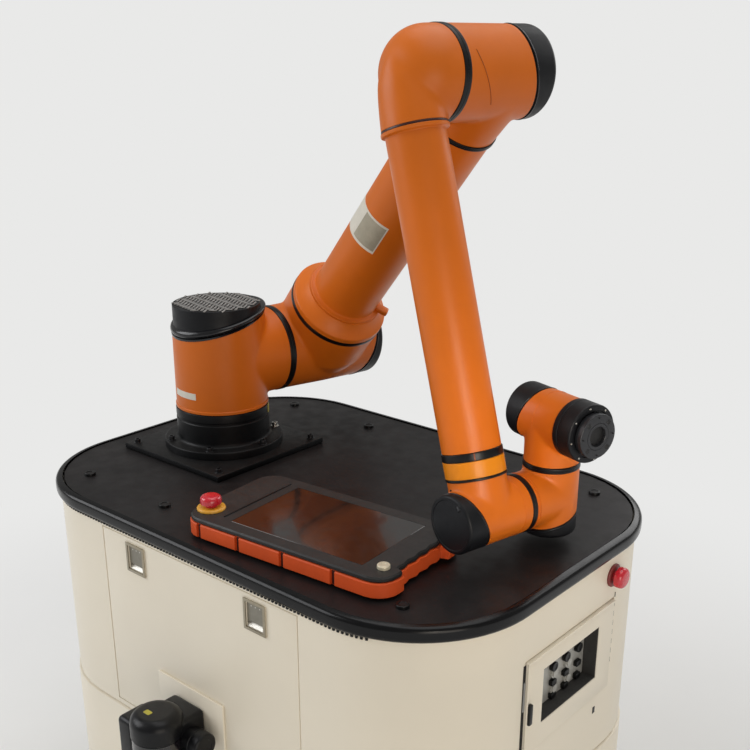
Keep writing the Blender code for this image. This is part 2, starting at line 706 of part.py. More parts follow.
def build_scanners():
    """A laser scanner with its cable box, held off each long side by a grey bracket."""
    back_y = -2 * CLEARANCE - SCANNER_BRACKET_THICKNESS
    for side, name in ((-1, "left"), (1, "right")):
        face = pivot("scanner_face_" + name, location=(0, side * wall_y(), DECK_HEIGHT - SCANNER_DROP),
                     rotation=(0, 0, 0 if side < 0 else math.pi))
        slab("scanner_bracket_" + name, "grey_plate", SCANNER_BRACKET_WIDTH, SCANNER_BRACKET_THICKNESS,
             SCANNER_BRACKET_HEIGHT, edge=SOFT_EDGE / 2, parent=face,
             location=(SCANNER_ALONG, -CLEARANCE - SCANNER_BRACKET_THICKNESS / 2,
                       SCANNER_EDGE / 2 - SCANNER_BRACKET_HEIGHT / 2))
        body = turned("scanner_" + name, "black_plastic", scanner_profile(), parent=face,
                      location=(SCANNER_ALONG, back_y - SCANNER_REACH, 0))
        back = slab("scanner_back", None, SCANNER_BACK_WIDTH, SCANNER_REACH, SCANNER_BOX_HEIGHT, parent=face,
                    location=(SCANNER_ALONG, back_y - SCANNER_REACH / 2,
                              -SCANNER_BOX_DROP / 2 - SCANNER_BOX_HEIGHT / 2))
        boolean(body, back, "UNION")
        box = slab("scanner_box", None, SCANNER_BOX_WIDTH, SCANNER_BOX_DEPTH, SCANNER_BOX_HEIGHT,
                   edge=2 * SOFT_EDGE, parent=face,
                   location=(SCANNER_ALONG - SCANNER_RADIUS - SCANNER_BOX_WIDTH / 4, back_y - SCANNER_REACH,
                             -SCANNER_BOX_DROP - SCANNER_BOX_HEIGHT / 2))
        boolean(body, box, "UNION")
        knob = turned("scanner_knob", None,
                      disc_profile(SCANNER_KNOB_RADIUS, SCANNER_KNOB_REACH, 0, 2 * SOFT_EDGE), parent=face,
                      location=(SCANNER_ALONG, back_y - SCANNER_REACH / 2, -SCANNER_KNOB_DROP), rotation=ALONG_X,
                      steps=SMALL_STEPS)
        boolean(body, knob, "UNION")


def scanner_profile():
    """Domed head over a waisted window band and a round foot."""
    band_foot = -SCANNER_BAND_TOP - SCANNER_BAND_HEIGHT
    head = round_profile(SCANNER_RADIUS, 0, -SCANNER_BAND_TOP, SCANNER_EDGE)
    return head[:-1] + [
        (SCANNER_RADIUS - SCANNER_BAND_DEPTH, -SCANNER_BAND_TOP - SCANNER_BAND_DEPTH),
        (SCANNER_RADIUS - SCANNER_BAND_DEPTH, band_foot + SCANNER_BAND_DEPTH),
        (SCANNER_RADIUS, band_foot),
        (SCANNER_RADIUS, -SCANNER_HEIGHT),
        (0, -SCANNER_HEIGHT),
    ]


def build_arm():
    """The arm, from its mounting plate to the tool flange, posed as photographed."""
    stand = deck_top() + CLEARANCE
    slab("mounting_plate", "dark_steel", MOUNT_PLATE_LENGTH, MOUNT_PLATE_WIDTH, MOUNT_PLATE_THICKNESS,
         edge=SOFT_EDGE, location=(arm_x(), ARM_Y, stand + MOUNT_PLATE_THICKNESS / 2))
    swing = pivot("j1_axis", location=(arm_x(), ARM_Y, deck_top()), rotation=(0, 0, ARM_HEADING))
    build_base(swing)
    build_shoulder(swing)
    lift = pivot("j2_axis", swing, (0, UPPER_ARM_OFFSET, SHOULDER_HEIGHT), (0, math.pi / 2 - SHOULDER_LIFT, 0))
    build_upper_arm(lift)
    bend = math.pi / 2 + FOREARM_DROP - (math.pi / 2 - SHOULDER_LIFT)
    elbow = pivot("j3_axis", lift, (0, FOREARM_OFFSET - UPPER_ARM_OFFSET, UPPER_ARM), (0, bend, 0))
    build_forearm(elbow)
    wrist = pivot("j4_axis", elbow, (0, 0, FOREARM), (0, -math.pi / 2 - FOREARM_DROP, 0))
    build_wrist_1(wrist)
    turn = pivot("j5_axis", wrist, (0, WRIST_OFFSET, 0), (0, 0, TOOL_HEADING))
    build_wrist_2(turn)
    build_tool_flange(turn)


def build_base(frame):
    """Black cast base: bolted flange, neck and the step that the shoulder turns on."""
    bottom = MOUNT_PLATE_THICKNESS + 2 * CLEARANCE
    flange_top = bottom + BASE_FLANGE_HEIGHT
    profile = [
        (0, BASE_TOP),
        (BASE_NECK_RADIUS - SOFT_EDGE, BASE_TOP),
        (BASE_NECK_RADIUS, BASE_TOP - SOFT_EDGE),
        (BASE_NECK_RADIUS, flange_top + BASE_STEP),
        (BASE_NECK_RADIUS + BASE_STEP, flange_top),
        (BASE_FLANGE_RADIUS - SOFT_EDGE, flange_top),
        (BASE_FLANGE_RADIUS, flange_top - SOFT_EDGE),
        (BASE_FLANGE_RADIUS, bottom),
        (0, bottom),
    ]
    turned("arm_base", "black_plastic", profile, parent=frame)


def build_shoulder(frame):
    """Orange shoulder: upright column with the J2 branch, its slanted black cap and the J2 ring."""
    foot = BASE_TOP + TURNING_GAP
    column = turned("shoulder_housing", "orange_paint",
                    disc_profile(SHOULDER_RADIUS, CAP_SEAM + SHOULDER_RADIUS, foot, 0, SHOULDER_EDGE / 2),
                    parent=frame)
    branch_end = J2_RING_CENTRE - RING_WIDTH / 2 - CLEARANCE
    branch = turned("shoulder_branch", None, disc_profile(J2_RADIUS, branch_end, 0, RING_LIP), parent=frame,
                    location=(0, 0, SHOULDER_HEIGHT), rotation=ALONG_Y)
    boolean(column, branch, "UNION")
    slanted_cap("shoulder_cap", column, frame, (0, 0, 0), Z, Y, SHOULDER_RADIUS, CAP_SEAM, CAP_TOP, CAP_TAPER)
    ring("ring_j2", frame, (0, 0, SHOULDER_HEIGHT), J2_RADIUS, J2_RING_CENTRE, RING_WIDTH)


def ring(name, frame, location, radius, centre, width, rotation=ALONG_Y):
    """A black seal ring between two housings; it stands a little proud of both."""
    turned(name, "black_plastic",
           disc_profile(radius + RING_LIP, centre + width / 2, centre - width / 2, RING_LIP, RING_LIP),
           parent=frame, location=location, rotation=rotation)


def build_upper_arm(frame):
    """Upper arm: J2 housing with its cap, stepped collar, tube, elbow ring and elbow housing."""
    start = J2_RING_CENTRE + RING_WIDTH / 2 + TURNING_GAP - UPPER_ARM_OFFSET
    housing = turned("upper_arm_housing", "orange_paint",
                     [(0, J2_CAP_SEAM + J2_RADIUS - UPPER_ARM_OFFSET),
                      (J2_BODY_RADIUS, J2_CAP_SEAM + J2_RADIUS - UPPER_ARM_OFFSET),
                      (J2_BODY_RADIUS, 0), (J2_RADIUS, start), (0, start)],
                     parent=frame, rotation=ALONG_Y)
    branch = turned("upper_arm_branch", None, disc_profile(COLLAR_RADIUS, COLLAR_START, 0, RING_LIP),
                    parent=frame)
    boolean(housing, branch, "UNION")
    slanted_cap("upper_arm_cap", housing, frame, (0, 0, 0), Y, Z, J2_BODY_RADIUS,
                J2_CAP_SEAM - UPPER_ARM_OFFSET, J2_CAP_END - UPPER_ARM_OFFSET, CAP_EDGE)
    build_upper_tube(frame)
    ring("ring_elbow_neck", frame, (0, 0, 0), UPPER_TUBE_RADIUS + ELBOW_RING_LIP - RING_LIP,
         UPPER_ARM - ELBOW_RING_RISE - ELBOW_RING_WIDTH / 2, ELBOW_RING_WIDTH, rotation=(0, 0, 0))
    build_elbow(frame)


def build_upper_tube(frame):
    """Upper arm tube with the stepped collar at its foot, over a thin black line."""
    bottom = COLLAR_START + CLEARANCE
    lip = bottom + COLLAR_LINE + COLLAR_LIP
    top = bottom + COLLAR_LINE + COLLAR_LENGTH
    tube_end = UPPER_ARM - ELBOW_RING_RISE - ELBOW_RING_WIDTH - CLEARANCE
    profile = [
        (0, tube_end),
        (UPPER_TUBE_RADIUS, tube_end),
        (UPPER_TUBE_RADIUS, top + COLLAR_STEP),
        (COLLAR_END_RADIUS - SOFT_EDGE, top),
        (COLLAR_END_RADIUS, top - SOFT_EDGE),
        (COLLAR_RADIUS - COLLAR_STEP, lip),
        (COLLAR_RADIUS, lip - COLLAR_STEP),
        (COLLAR_RADIUS, bottom + COLLAR_LINE),
        (COLLAR_RADIUS - RING_LIP, bottom + COLLAR_LINE),
        (COLLAR_RADIUS - RING_LIP, bottom),
        (0, bottom),
    ]
    turned("upper_arm_tube", "orange_paint", profile, parent=frame)


def build_elbow(frame):
    """Elbow housing on the upper arm: cross cylinder, neck and black end cap, with the J3 ring."""
    start = J2_RING_CENTRE + RING_WIDTH / 2 + CLEARANCE - UPPER_ARM_OFFSET
    housing = turned("elbow_housing", "orange_paint",
                     disc_profile(J3_RADIUS, J3_CAP_SEAM + J3_RADIUS - UPPER_ARM_OFFSET, start), parent=frame,
                     location=(0, 0, UPPER_ARM), rotation=ALONG_Y)
    neck_start = -ELBOW_RING_RISE + CLEARANCE
    neck = turned("elbow_neck", None,
                  [(0, 0), (J3_RADIUS - RING_LIP, 0), (UPPER_TUBE_RADIUS + RING_LIP, neck_start), (0, neck_start)],
                  parent=frame, location=(0, 0, UPPER_ARM))
    boolean(housing, neck, "UNION")
    slanted_cap("elbow_cap", housing, frame, (0, 0, UPPER_ARM), Y, -Z, J3_RADIUS,
                J3_CAP_SEAM - UPPER_ARM_OFFSET, J3_CAP_END - UPPER_ARM_OFFSET, CAP_EDGE)
    ring("ring_j3", frame, (0, -UPPER_ARM_OFFSET, UPPER_ARM), J3_RADIUS, J2_RING_CENTRE, RING_WIDTH)


def build_forearm(frame):
    """Forearm: round elbow bulb, tube with its bands, and the J4 housing with its cap and ring."""
    face = J2_RING_CENTRE - RING_WIDTH / 2 - TURNING_GAP - FOREARM_OFFSET
    bulb = turned("forearm_bulb", "orange_paint", bulb_profile(face), parent=frame, rotation=ALONG_Y)
    neck = turned("bulb_neck", None,
                  [(0, BULB_NECK), (BULB_NECK_RADIUS, BULB_NECK)]
                  + [(BULB_NECK_RADIUS * r, BULB_NECK * z) for r, z in BULB_NECK_SHARES]
                  + [(0, BULB_NECK * BULB_CROWN_SHARE)], parent=frame)
    seat = pivot("bulb_face", frame, (0, face, 0), ALONG_Y)
    trim = half_space("bulb_neck_trim", seat, 0, 0, 4 * J3_RADIUS)
    boolean(neck, trim, "DIFFERENCE")
    boolean(bulb, neck, "UNION")
    tube_start = BULB_NECK + CLEARANCE
    lip = tube_start + BULB_LINE
    band = FOREARM - BAND_START
    profile = [
        (0, band),
        (FORE_TUBE_RADIUS, band),
        (FORE_TUBE_RADIUS, lip + 2 * BULB_LIP),
        (BULB_NECK_RADIUS - RING_LIP, lip + BULB_LIP),
        (BULB_NECK_RADIUS, lip + BULB_LIP / 2),
        (BULB_NECK_RADIUS, lip),
        (BULB_NECK_RADIUS - RING_LIP, lip),
        (BULB_NECK_RADIUS - RING_LIP, tube_start),
        (0, tube_start),
    ]
    turned("forearm_tube", "orange_paint", profile, parent=frame)
    build_band(frame, band)
    build_j4(frame)


def bulb_profile(face):
    """The elbow bulb: a short cylinder from the J3 ring that ends in a flattened dome."""
    turns = 6
    arc = [(J3_RADIUS * math.cos(a), BULB_CENTRE - BULB_REACH * math.sin(a))
           for a in (math.pi / 2 * i / turns for i in range(turns))]
    return [(0, face), (J3_RADIUS - RING_LIP, face), (J3_RADIUS, face - RING_LIP)] + arc + [
        (0, BULB_CENTRE - BULB_REACH)]


def build_band(frame, band):
    """Black band between the forearm's tube and the sleeve of its end housing."""
    start = band + CLEARANCE
    turned("forearm_band", "black_plastic",
           disc_profile(FORE_TUBE_RADIUS + BAND_LIP, start + BAND_WIDTH, start, BAND_LIP, BAND_LIP),
           parent=frame)


def build_j4(frame):
    """J4 housing and sleeve at the forearm's end, with the left cap and the right ring."""
    ring_face = J4_RING_CENTRE - J4_RING_WIDTH / 2 - CLEARANCE
    housing = turned("forearm_end_housing", "orange_paint",
                     disc_profile(J4_RADIUS, ring_face, -J4_CAP_SEAM - J4_RADIUS), parent=frame,
                     location=(0, 0, FOREARM), rotation=ALONG_Y)
    line = -SLEEVE_END
    sleeve_start = BAND_WIDTH + 2 * CLEARANCE - BAND_START
    sleeve_radius = FORE_TUBE_RADIUS + SLEEVE_LIP
    neck_profile = [
        (0, 0),
        (J4_RADIUS - RING_LIP, 0),
        (sleeve_radius - SLEEVE_LIP, line + J4_LINE),
        (sleeve_radius - 2 * SLEEVE_LIP, line + J4_LINE),
        (sleeve_radius - 2 * SLEEVE_LIP, line),
        (sleeve_radius, line - SLEEVE_LIP),
        (sleeve_radius, sleeve_start),
        (0, sleeve_start),
    ]
    neck = turned("end_neck", None, neck_profile, parent=frame, location=(0, 0, FOREARM))
    boolean(housing, neck, "UNION")
    slanted_cap("forearm_end_cap", housing, frame, (0, 0, FOREARM), -Y, -Z, J4_RADIUS, J4_CAP_SEAM, J4_CAP_END,
                CAP_EDGE / 2, WRIST_CAP_TILT)
    ring("ring_j4", frame, (0, 0, FOREARM), J4_RADIUS, J4_RING_CENTRE, J4_RING_WIDTH)


def build_wrist_1(frame):
    """First wrist: short cross branch into an upright barrel, slanted bottom cap and J5 ring."""
    top = J5_RING_CENTRE - J5_RING_WIDTH / 2 - CLEARANCE
    barrel = turned("wrist_1_housing", "orange_paint", disc_profile(J5_RADIUS, top, -J5_CAP_SEAM - J5_RADIUS),
                    parent=frame, location=(0, WRIST_OFFSET, 0))
    start = J4_RING_CENTRE + J4_RING_WIDTH / 2 + TURNING_GAP
    branch = turned("wrist_1_branch", None, disc_profile(J4_RADIUS, WRIST_OFFSET, start, J4_RADIUS - J5_RADIUS),
                    parent=frame, rotation=ALONG_Y)
    boolean(barrel, branch, "UNION")
    slanted_cap("wrist_1_cap", barrel, frame, (0, WRIST_OFFSET, 0), -Z, -Y, J5_RADIUS, J5_CAP_SEAM, J5_CAP_END,
                CAP_EDGE, WRIST_CAP_TILT)
    ring("ring_j5", frame, (0, WRIST_OFFSET, 0), J5_RADIUS, J5_RING_CENTRE, J5_RING_WIDTH, rotation=(0, 0, 0))


def build_wrist_2(frame):
    """Second wrist: upright neck into a level barrel, rear cap and the black J6 housing."""
    start = J5_RING_CENTRE + J5_RING_WIDTH / 2 + TURNING_GAP
    barrel = turned("wrist_2_housing", "orange_paint",
                    disc_profile(J6_RADIUS, J6_FRONT_START, -J6_CAP_SEAM - J6_RADIUS), parent=frame,
                    location=(0, 0, WRIST_RISE), rotation=ALONG_X)
    neck = turned("wrist_2_neck", None, disc_profile(J5_RADIUS - RING_LIP, WRIST_RISE, start), parent=frame)
    boolean(barrel, neck, "UNION")
    slanted_cap("wrist_2_cap", barrel, frame, (0, 0, WRIST_RISE), -X, -Z, J6_RADIUS, J6_CAP_SEAM, J6_CAP_END,
                CAP_EDGE / 2, WRIST_CAP_TILT)
    turned("wrist_2_front", "black_plastic",
           disc_profile(J6_FRONT_RADIUS, J6_FRONT_END, J6_FRONT_START + CLEARANCE, CAP_EDGE / 2, RING_LIP),
           parent=frame, location=(0, 0, WRIST_RISE), rotation=ALONG_X)


def build_tool_flange(frame):
    """Round tool flange with its central bore, four bolt holes and one pin hole."""
    face = pivot("j6_axis", frame, (FLANGE_REACH, 0, WRIST_RISE), ALONG_X)
    depth = FLANGE_REACH - J6_FRONT_END - TURNING_GAP
    profile = [
        (0, -FLANGE_BORE_DEPTH),
        (FLANGE_BORE_RADIUS, -FLANGE_BORE_DEPTH),
        (FLANGE_BORE_RADIUS, 0),
        (FLANGE_RADIUS - RING_LIP, 0),
        (FLANGE_RADIUS, -RING_LIP),
        (FLANGE_RADIUS, -depth),
        (0, -depth),
    ]
    flange = turned("tool_flange", "flange_alloy", profile, parent=face)
    quarter = 2 * math.pi / FLANGE_BOLT_COUNT
    sides = SMALL_STEPS // 2
    holes = [(FLANGE_BOLT_RADIUS, quarter * (i + 1 / 2)) for i in range(FLANGE_BOLT_COUNT)]
    holes.append((FLANGE_PIN_RADIUS, math.pi))
    for radius, angle in holes:
        hole = turned("flange_hole", None, disc_profile(radius, OVERRUN, -FLANGE_BOLT_DEPTH), parent=face,
                      location=(FLANGE_BOLT_CIRCLE * math.cos(angle), FLANGE_BOLT_CIRCLE * math.sin(angle), 0),
                      rotation=(0, 0, angle + math.pi / sides), steps=sides)
        boolean(flange, hole, "DIFFERENCE")


def pendant_x():
    """Place of the pendant along the cart, between the arm's plate and the deck's round corners."""
    start = arm_x() + MOUNT_PLATE_LENGTH / 2
    half = PENDANT_LENGTH / 2 + BUMPER_WIDTH
    end = DECK_LENGTH / 2 - TRIM_WIDTH - CORNER_ROOM_SHARE * DECK_CORNER
    return start + half + PENDANT_SLACK_SHARE * (end - start - 2 * half)


def pendant_outline(grow):
    """Outline of the pendant seen from above, grown outward: round corners, and a waved grip at +X."""
    half_length = PENDANT_LENGTH / 2 + grow
    half_width = PENDANT_WIDTH / 2 + grow
    corner = PENDANT_CORNER + grow
    points = []
    for quarter, (side_x, side_y) in enumerate(((1, 1), (-1, 1), (-1, -1), (1, -1))):
        centre = (side_x * (half_length - corner), side_y * (half_width - corner))
        for step in range(PENDANT_CORNER_STEPS + 1):
            angle = math.pi / 2 * (quarter + step / PENDANT_CORNER_STEPS)
            points.append((centre[0] + corner * math.cos(angle), centre[1] + corner * math.sin(angle)))
    mouth = GRIP_WIDTH / 2 - grow
    floor = mouth - GRIP_SLOPE
    points.append((half_length, -mouth))
    waves = 2 * GRIP_FINGERS
    for i in range(waves + 1):
        wave = GRIP_WAVE if i % 2 else 0
        points.append((half_length - GRIP_DEPTH + wave, floor * (2 * i / waves - 1)))
    points.append((half_length, mouth))
    return points


def upright(name, finish, outline, bottom, top, parent, edge=0.0):
    """A plate with this outline between two heights, with its edges softened."""
    shape = bmesh.new()
    face = shape.faces.new([shape.verts.new((x, y, bottom)) for x, y in outline])
    made = bmesh.ops.extrude_face_region(shape, geom=[face])["geom"]
    raised = [v for v in made if isinstance(v, bmesh.types.BMVert)]
    bmesh.ops.translate(shape, vec=(0, 0, top - bottom), verts=raised)
    bmesh.ops.recalc_face_normals(shape, faces=shape.faces)
    mesh = bpy.data.meshes.new(name)
    shape.to_mesh(mesh)
    shape.free()
    obj = add(name, mesh, finish, parent)
    if edge:
        soften(obj, edge, segments=1, angle=math.radians(60.0))
    return obj


def build_pendant():
    """Teach pendant: dark case with its lip and screen recess, notched bumper, stop button and key."""
    frame = pivot("pendant_frame", rotation=(0, 0, PENDANT_TURN),
                  location=(pendant_x(), PENDANT_SIDE_INSET - DECK_WIDTH / 2, deck_top() + CLEARANCE))
    under_lip = BUMPER_LIFT + BUMPER_HEIGHT + CLEARANCE
    case = upright("pendant_case", "black_plastic", pendant_outline(BUMPER_WIDTH - PENDANT_LIP_INSET), under_lip,
                   PENDANT_HEIGHT, frame, PENDANT_LIP_EDGE)
    core = upright("pendant_core", None, pendant_outline(0), 0, under_lip + PENDANT_LIP_EDGE, frame)
    boolean(case, core, "UNION")
    screen = slab("screen_recess", None, PENDANT_SCREEN_LENGTH, PENDANT_SCREEN_WIDTH, 2 * PENDANT_SCREEN_DEPTH,
                  parent=frame, location=(PENDANT_SCREEN_SHIFT, 0, PENDANT_HEIGHT))
    boolean(case, screen, "DIFFERENCE")
    build_bumper(frame)
    stop_x = PENDANT_STOP_SHARES[0] * PENDANT_LENGTH / 2
    stop_y = PENDANT_STOP_SHARES[1] * PENDANT_WIDTH / 2
    seat = pivot("pendant_stop_axis", frame, (stop_x, stop_y, PENDANT_HEIGHT))
    collar = turned("pendant_stop_collar", "yellow_plastic",
                    disc_profile(PENDANT_COLLAR_RADIUS, STOP_COLLAR_HEIGHT, CLEARANCE, SOFT_EDGE), parent=seat,
                    steps=SMALL_STEPS)
    deep = STOP_NECK_HEIGHT + STOP_TRAVEL
    bore = turned("pendant_stop_bore", None,
                  disc_profile(STOP_NECK_RADIUS + CLEARANCE, 2 * STOP_COLLAR_HEIGHT, -deep),
                  parent=seat, steps=SMALL_STEPS)
    boolean(collar, bore, "DIFFERENCE")
    boolean(case, bore, "DIFFERENCE")
    turned("pendant_stop_button", "red_plastic", stop_profile(STOP_COLLAR_HEIGHT), parent=seat,
           steps=SMALL_STEPS)
    key_x = KEY_SHARES[0] * PENDANT_LENGTH / 2
    key_y = KEY_SHARES[1] * PENDANT_WIDTH / 2
    turned("pendant_key_switch", "bright_steel",
           disc_profile(KEY_RADIUS, PENDANT_HEIGHT + KEY_HEIGHT, PENDANT_HEIGHT + CLEARANCE, SOFT_EDGE),
           parent=frame, location=(key_x, key_y, 0), steps=SMALL_STEPS)


def build_bumper(frame):
    """Rubber bumper round the pendant, with notches along both long sides."""
    top = BUMPER_LIFT + BUMPER_HEIGHT
    bumper = upright("pendant_bumper", "bumper_rubber", pendant_outline(BUMPER_WIDTH), BUMPER_LIFT, top, frame,
                     SOFT_EDGE)
    hollow = upright("bumper_hollow", None, pendant_outline(CLEARANCE), 0, top + OVERRUN, frame)
    boolean(bumper, hollow, "DIFFERENCE")
    side_y = PENDANT_WIDTH / 2 + BUMPER_WIDTH
    for side in (-1, 1):
        for share in BUMPER_NOTCH_SHARES:
            notch = slab("bumper_notch", None, BUMPER_NOTCH_WIDTH, 2 * BUMPER_NOTCH_DEPTH, 2 * BUMPER_HEIGHT,
                         parent=frame,
                         location=(share * PENDANT_LENGTH / 2, side * side_y, top - BUMPER_HEIGHT / 2))
            boolean(bumper, notch, "DIFFERENCE")


def main():
    """Clears the scene and builds the cart, the arm and the pendant."""
    global MODEL, TOOLS
    for old in list(bpy.data.objects):
        bpy.data.objects.remove(old, do_unlink=True)
    MODEL = bpy.data.collections.new("robot_arm_on_cart")
    TOOLS = bpy.data.collections.new("cutters")
    bpy.context.scene.collection.children.link(MODEL)
    bpy.context.scene.collection.children.link(TOOLS)
    build_cabinet()
    build_chassis()
    build_feet()
    build_doors()
    build_connector_panel()
    build_deck()
    build_stops()
    build_scanners()
    build_arm()
    build_pendant()
    for obj in MODEL.objects:
        if obj.type == "MESH" and not any(m.type == "SCREW" for m in obj.modifiers):
            smooth(obj)


main()
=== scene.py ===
"""Looks of a six-axis robot arm on its cabinet cart: fine surfaces, fasteners and finishes."""
import json
import math

import bmesh
import bpy
from mathutils import Matrix, Vector


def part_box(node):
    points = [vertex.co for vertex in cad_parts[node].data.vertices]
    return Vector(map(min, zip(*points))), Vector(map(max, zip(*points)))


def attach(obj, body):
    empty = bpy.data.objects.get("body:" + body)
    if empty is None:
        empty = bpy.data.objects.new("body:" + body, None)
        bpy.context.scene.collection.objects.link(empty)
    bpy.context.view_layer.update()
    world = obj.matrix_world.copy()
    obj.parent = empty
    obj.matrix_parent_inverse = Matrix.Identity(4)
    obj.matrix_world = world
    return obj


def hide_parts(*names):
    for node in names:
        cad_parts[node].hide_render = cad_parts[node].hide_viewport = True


bl_info = {
    "name": "Robot arm on a cart", "version": (1, 0, 0), "blender": (4, 5, 0),
    "location": "3D View > Sidebar > Robot arm",
    "description": "Dresses the arm, its cart and its pendant, and sets the studio", "category": "Object",
}

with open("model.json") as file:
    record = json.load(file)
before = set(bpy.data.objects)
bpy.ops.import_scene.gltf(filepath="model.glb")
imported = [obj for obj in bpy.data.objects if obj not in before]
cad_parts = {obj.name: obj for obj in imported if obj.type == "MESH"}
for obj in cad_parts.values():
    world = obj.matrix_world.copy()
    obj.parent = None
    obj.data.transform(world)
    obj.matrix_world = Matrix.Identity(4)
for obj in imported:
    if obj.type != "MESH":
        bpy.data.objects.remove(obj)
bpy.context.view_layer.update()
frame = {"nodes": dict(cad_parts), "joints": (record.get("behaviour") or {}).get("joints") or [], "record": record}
JOINTS = {joint["name"]: joint for joint in frame["joints"]}

Y = Vector((0, 1, 0))
Z = Vector((0, 0, 1))
MM = 0.001
FIT = 0.0003
MERGE = 1e-6
FACING = 0.99
ROUND = 96
SMALL = 32


def linear(code):
    """An sRGB hex colour as the linear colour that a shader takes."""
    values = [int(code[i:i + 2], 16) / 255 for i in (1, 3, 5)]
    return tuple(v / 12.92 if v <= 0.04045 else ((v + 0.055) / 1.055) ** 2.4 for v in values)


def joint_point(name):
    return Vector(JOINTS[name]["pos_m"])


def joint_axis(name):
    return Vector(JOINTS[name]["axis"]).normalized()


# Where the arm's pieces lie, from the joints

BASE_AT = joint_point("j1_base_turn")
DECK_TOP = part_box("deck_plate")[1].z - 0.004
ACROSS = -joint_axis("j2_shoulder_lift")
TOOL = joint_axis("j6_flange_spin")
FORE_SIDE = 0.0509
UPPER_SIDE = 0.2019
SHOULDER = joint_point("j2_shoulder_lift")
FORE_ROOT = joint_point("j3_elbow_bend")
ELBOW = FORE_ROOT + ACROSS * (UPPER_SIDE - FORE_SIDE)
WRIST = joint_point("j4_wrist_tilt")
WRIST_UP = joint_point("j5_wrist_turn")
UPPER_ALONG = (ELBOW - SHOULDER).normalized()
FORE_ALONG = (WRIST - FORE_ROOT).normalized()
UPPER_LENGTH = (ELBOW - SHOULDER).length
FORE_LENGTH = (WRIST - FORE_ROOT).length
WRIST_RISE = joint_point("j6_flange_spin").z - WRIST_UP.z
FLANGE_REACH = (joint_point("j6_flange_spin") - WRIST_UP).dot(TOOL)


def facing(origin, toward, branch):
    """Matrix of a place whose Z runs toward something and whose Y runs along its branch."""
    across = branch.cross(toward)
    turn = Matrix((across, branch, toward)).transposed()
    return Matrix.Translation(origin) @ turn.to_4x4()


AT_BASE = facing(Vector((BASE_AT.x, BASE_AT.y, DECK_TOP)), Z, ACROSS)
AT_SHOULDER = facing(SHOULDER - ACROSS * UPPER_SIDE, ACROSS, UPPER_ALONG)
AT_UPPER = facing(SHOULDER, UPPER_ALONG, ACROSS)
AT_ELBOW = facing(ELBOW - ACROSS * UPPER_SIDE, ACROSS, -UPPER_ALONG)
AT_BULB = facing(FORE_ROOT, ACROSS, FORE_ALONG)
AT_FORE = facing(FORE_ROOT, FORE_ALONG, ACROSS)
AT_END = facing(WRIST, -ACROSS, -FORE_ALONG)
AT_WRIST_1 = facing(WRIST_UP, -Z, -ACROSS)
AT_WRIST_2 = facing(WRIST_UP + Z * WRIST_RISE, -TOOL, -Z)
AT_TOOL = facing(WRIST_UP + Z * WRIST_RISE, TOOL, Z)


# Settings

class ArmSettings(bpy.types.PropertyGroup):
    """Sizes of the arm's fine detail."""
    bead: bpy.props.FloatProperty(name="Seam bead",
                                  description="Radius of the bead round a cap's slanted seam",
                                  default=1.7 * MM, unit="LENGTH")
    groove: bpy.props.FloatProperty(name="Seam groove", description="Height of the dark groove under a cap",
                                    default=3.0 * MM, unit="LENGTH")
    blend: bpy.props.IntProperty(name="Casting blend", description="Smoothing passes where two barrels meet",
                                 default=16, min=0, max=80)
    voxel: bpy.props.FloatProperty(name="Casting grid", description="Mesh size of the cast housings",
                                   default=1.9 * MM, unit="LENGTH")


class CartSettings(bpy.types.PropertyGroup):
    """Sizes of the cart's fine detail."""
    tooth: bpy.props.FloatProperty(name="Lip tooth",
                                   description="Pitch of the teeth under the deck's edge trim",
                                   default=7.0 * MM, unit="LENGTH")
    dash: bpy.props.FloatProperty(name="Hinge dash", description="Pitch of the slots beside the end panel",
                                  default=16.0 * MM, unit="LENGTH")


def colour_setting(label, about, code):
    """A colour that the user can change, starting from an sRGB hex value."""
    return bpy.props.FloatVectorProperty(name=label, description=about, subtype="COLOR", size=3, min=0, max=1,
                                         default=linear(code))


class FinishSettings(bpy.types.PropertyGroup):
    """Colours of the finishes."""
    orange: colour_setting("Arm enamel", "Two-part enamel on the arm's castings", "#D66C17")
    sleeve: colour_setting("Sleeve enamel", "Yellower enamel on the forearm's end sleeve", "#DE8411")
    cream: colour_setting("Cabinet coat", "Powder coat on the cabinet's sheet steel", "#F1E8D5")
    black: colour_setting("Cap plastic", "Moulded nylon of the caps and rings", "#131417")
    deck: colour_setting("Deck laminate", "Textured laminate of the deck", "#191718")
    trim: colour_setting("Edge trim", "Extruded PVC round the deck", "#09090B")
    bumper: colour_setting("Pendant bumper", "Rubber round the pendant", "#DA5420")
    red: colour_setting("Stop red", "Moulded caps of the stop buttons", "#CE2030")
    stage: colour_setting("Studio floor", "Pale floor and backdrop", "#E9E9E8")


# Materials

def add_node(tree, kind, settings=None, links=None):
    """Adds a node, sets its inputs or properties by name, and links sockets into it."""
    made = tree.nodes.new(kind)
    for key, value in (settings or {}).items():
        if isinstance(key, int) or key in made.inputs:
            made.inputs[key].default_value = value
        else:
            setattr(made, key, value)
    for key, socket in (links or {}).items():
        tree.links.new(socket, made.inputs[key])
    return made


def start_material(name, settings):
    """A material with its Principled shader set from a table, or the one already made."""
    found = bpy.data.materials.get(name)
    if found:
        return found, None, None
    made = bpy.data.materials.new(name)
    made.use_nodes = True
    shader = made.node_tree.nodes["Principled BSDF"]
    for key, value in settings.items():
        shader.inputs[key].default_value = value
    return made, made.node_tree, shader


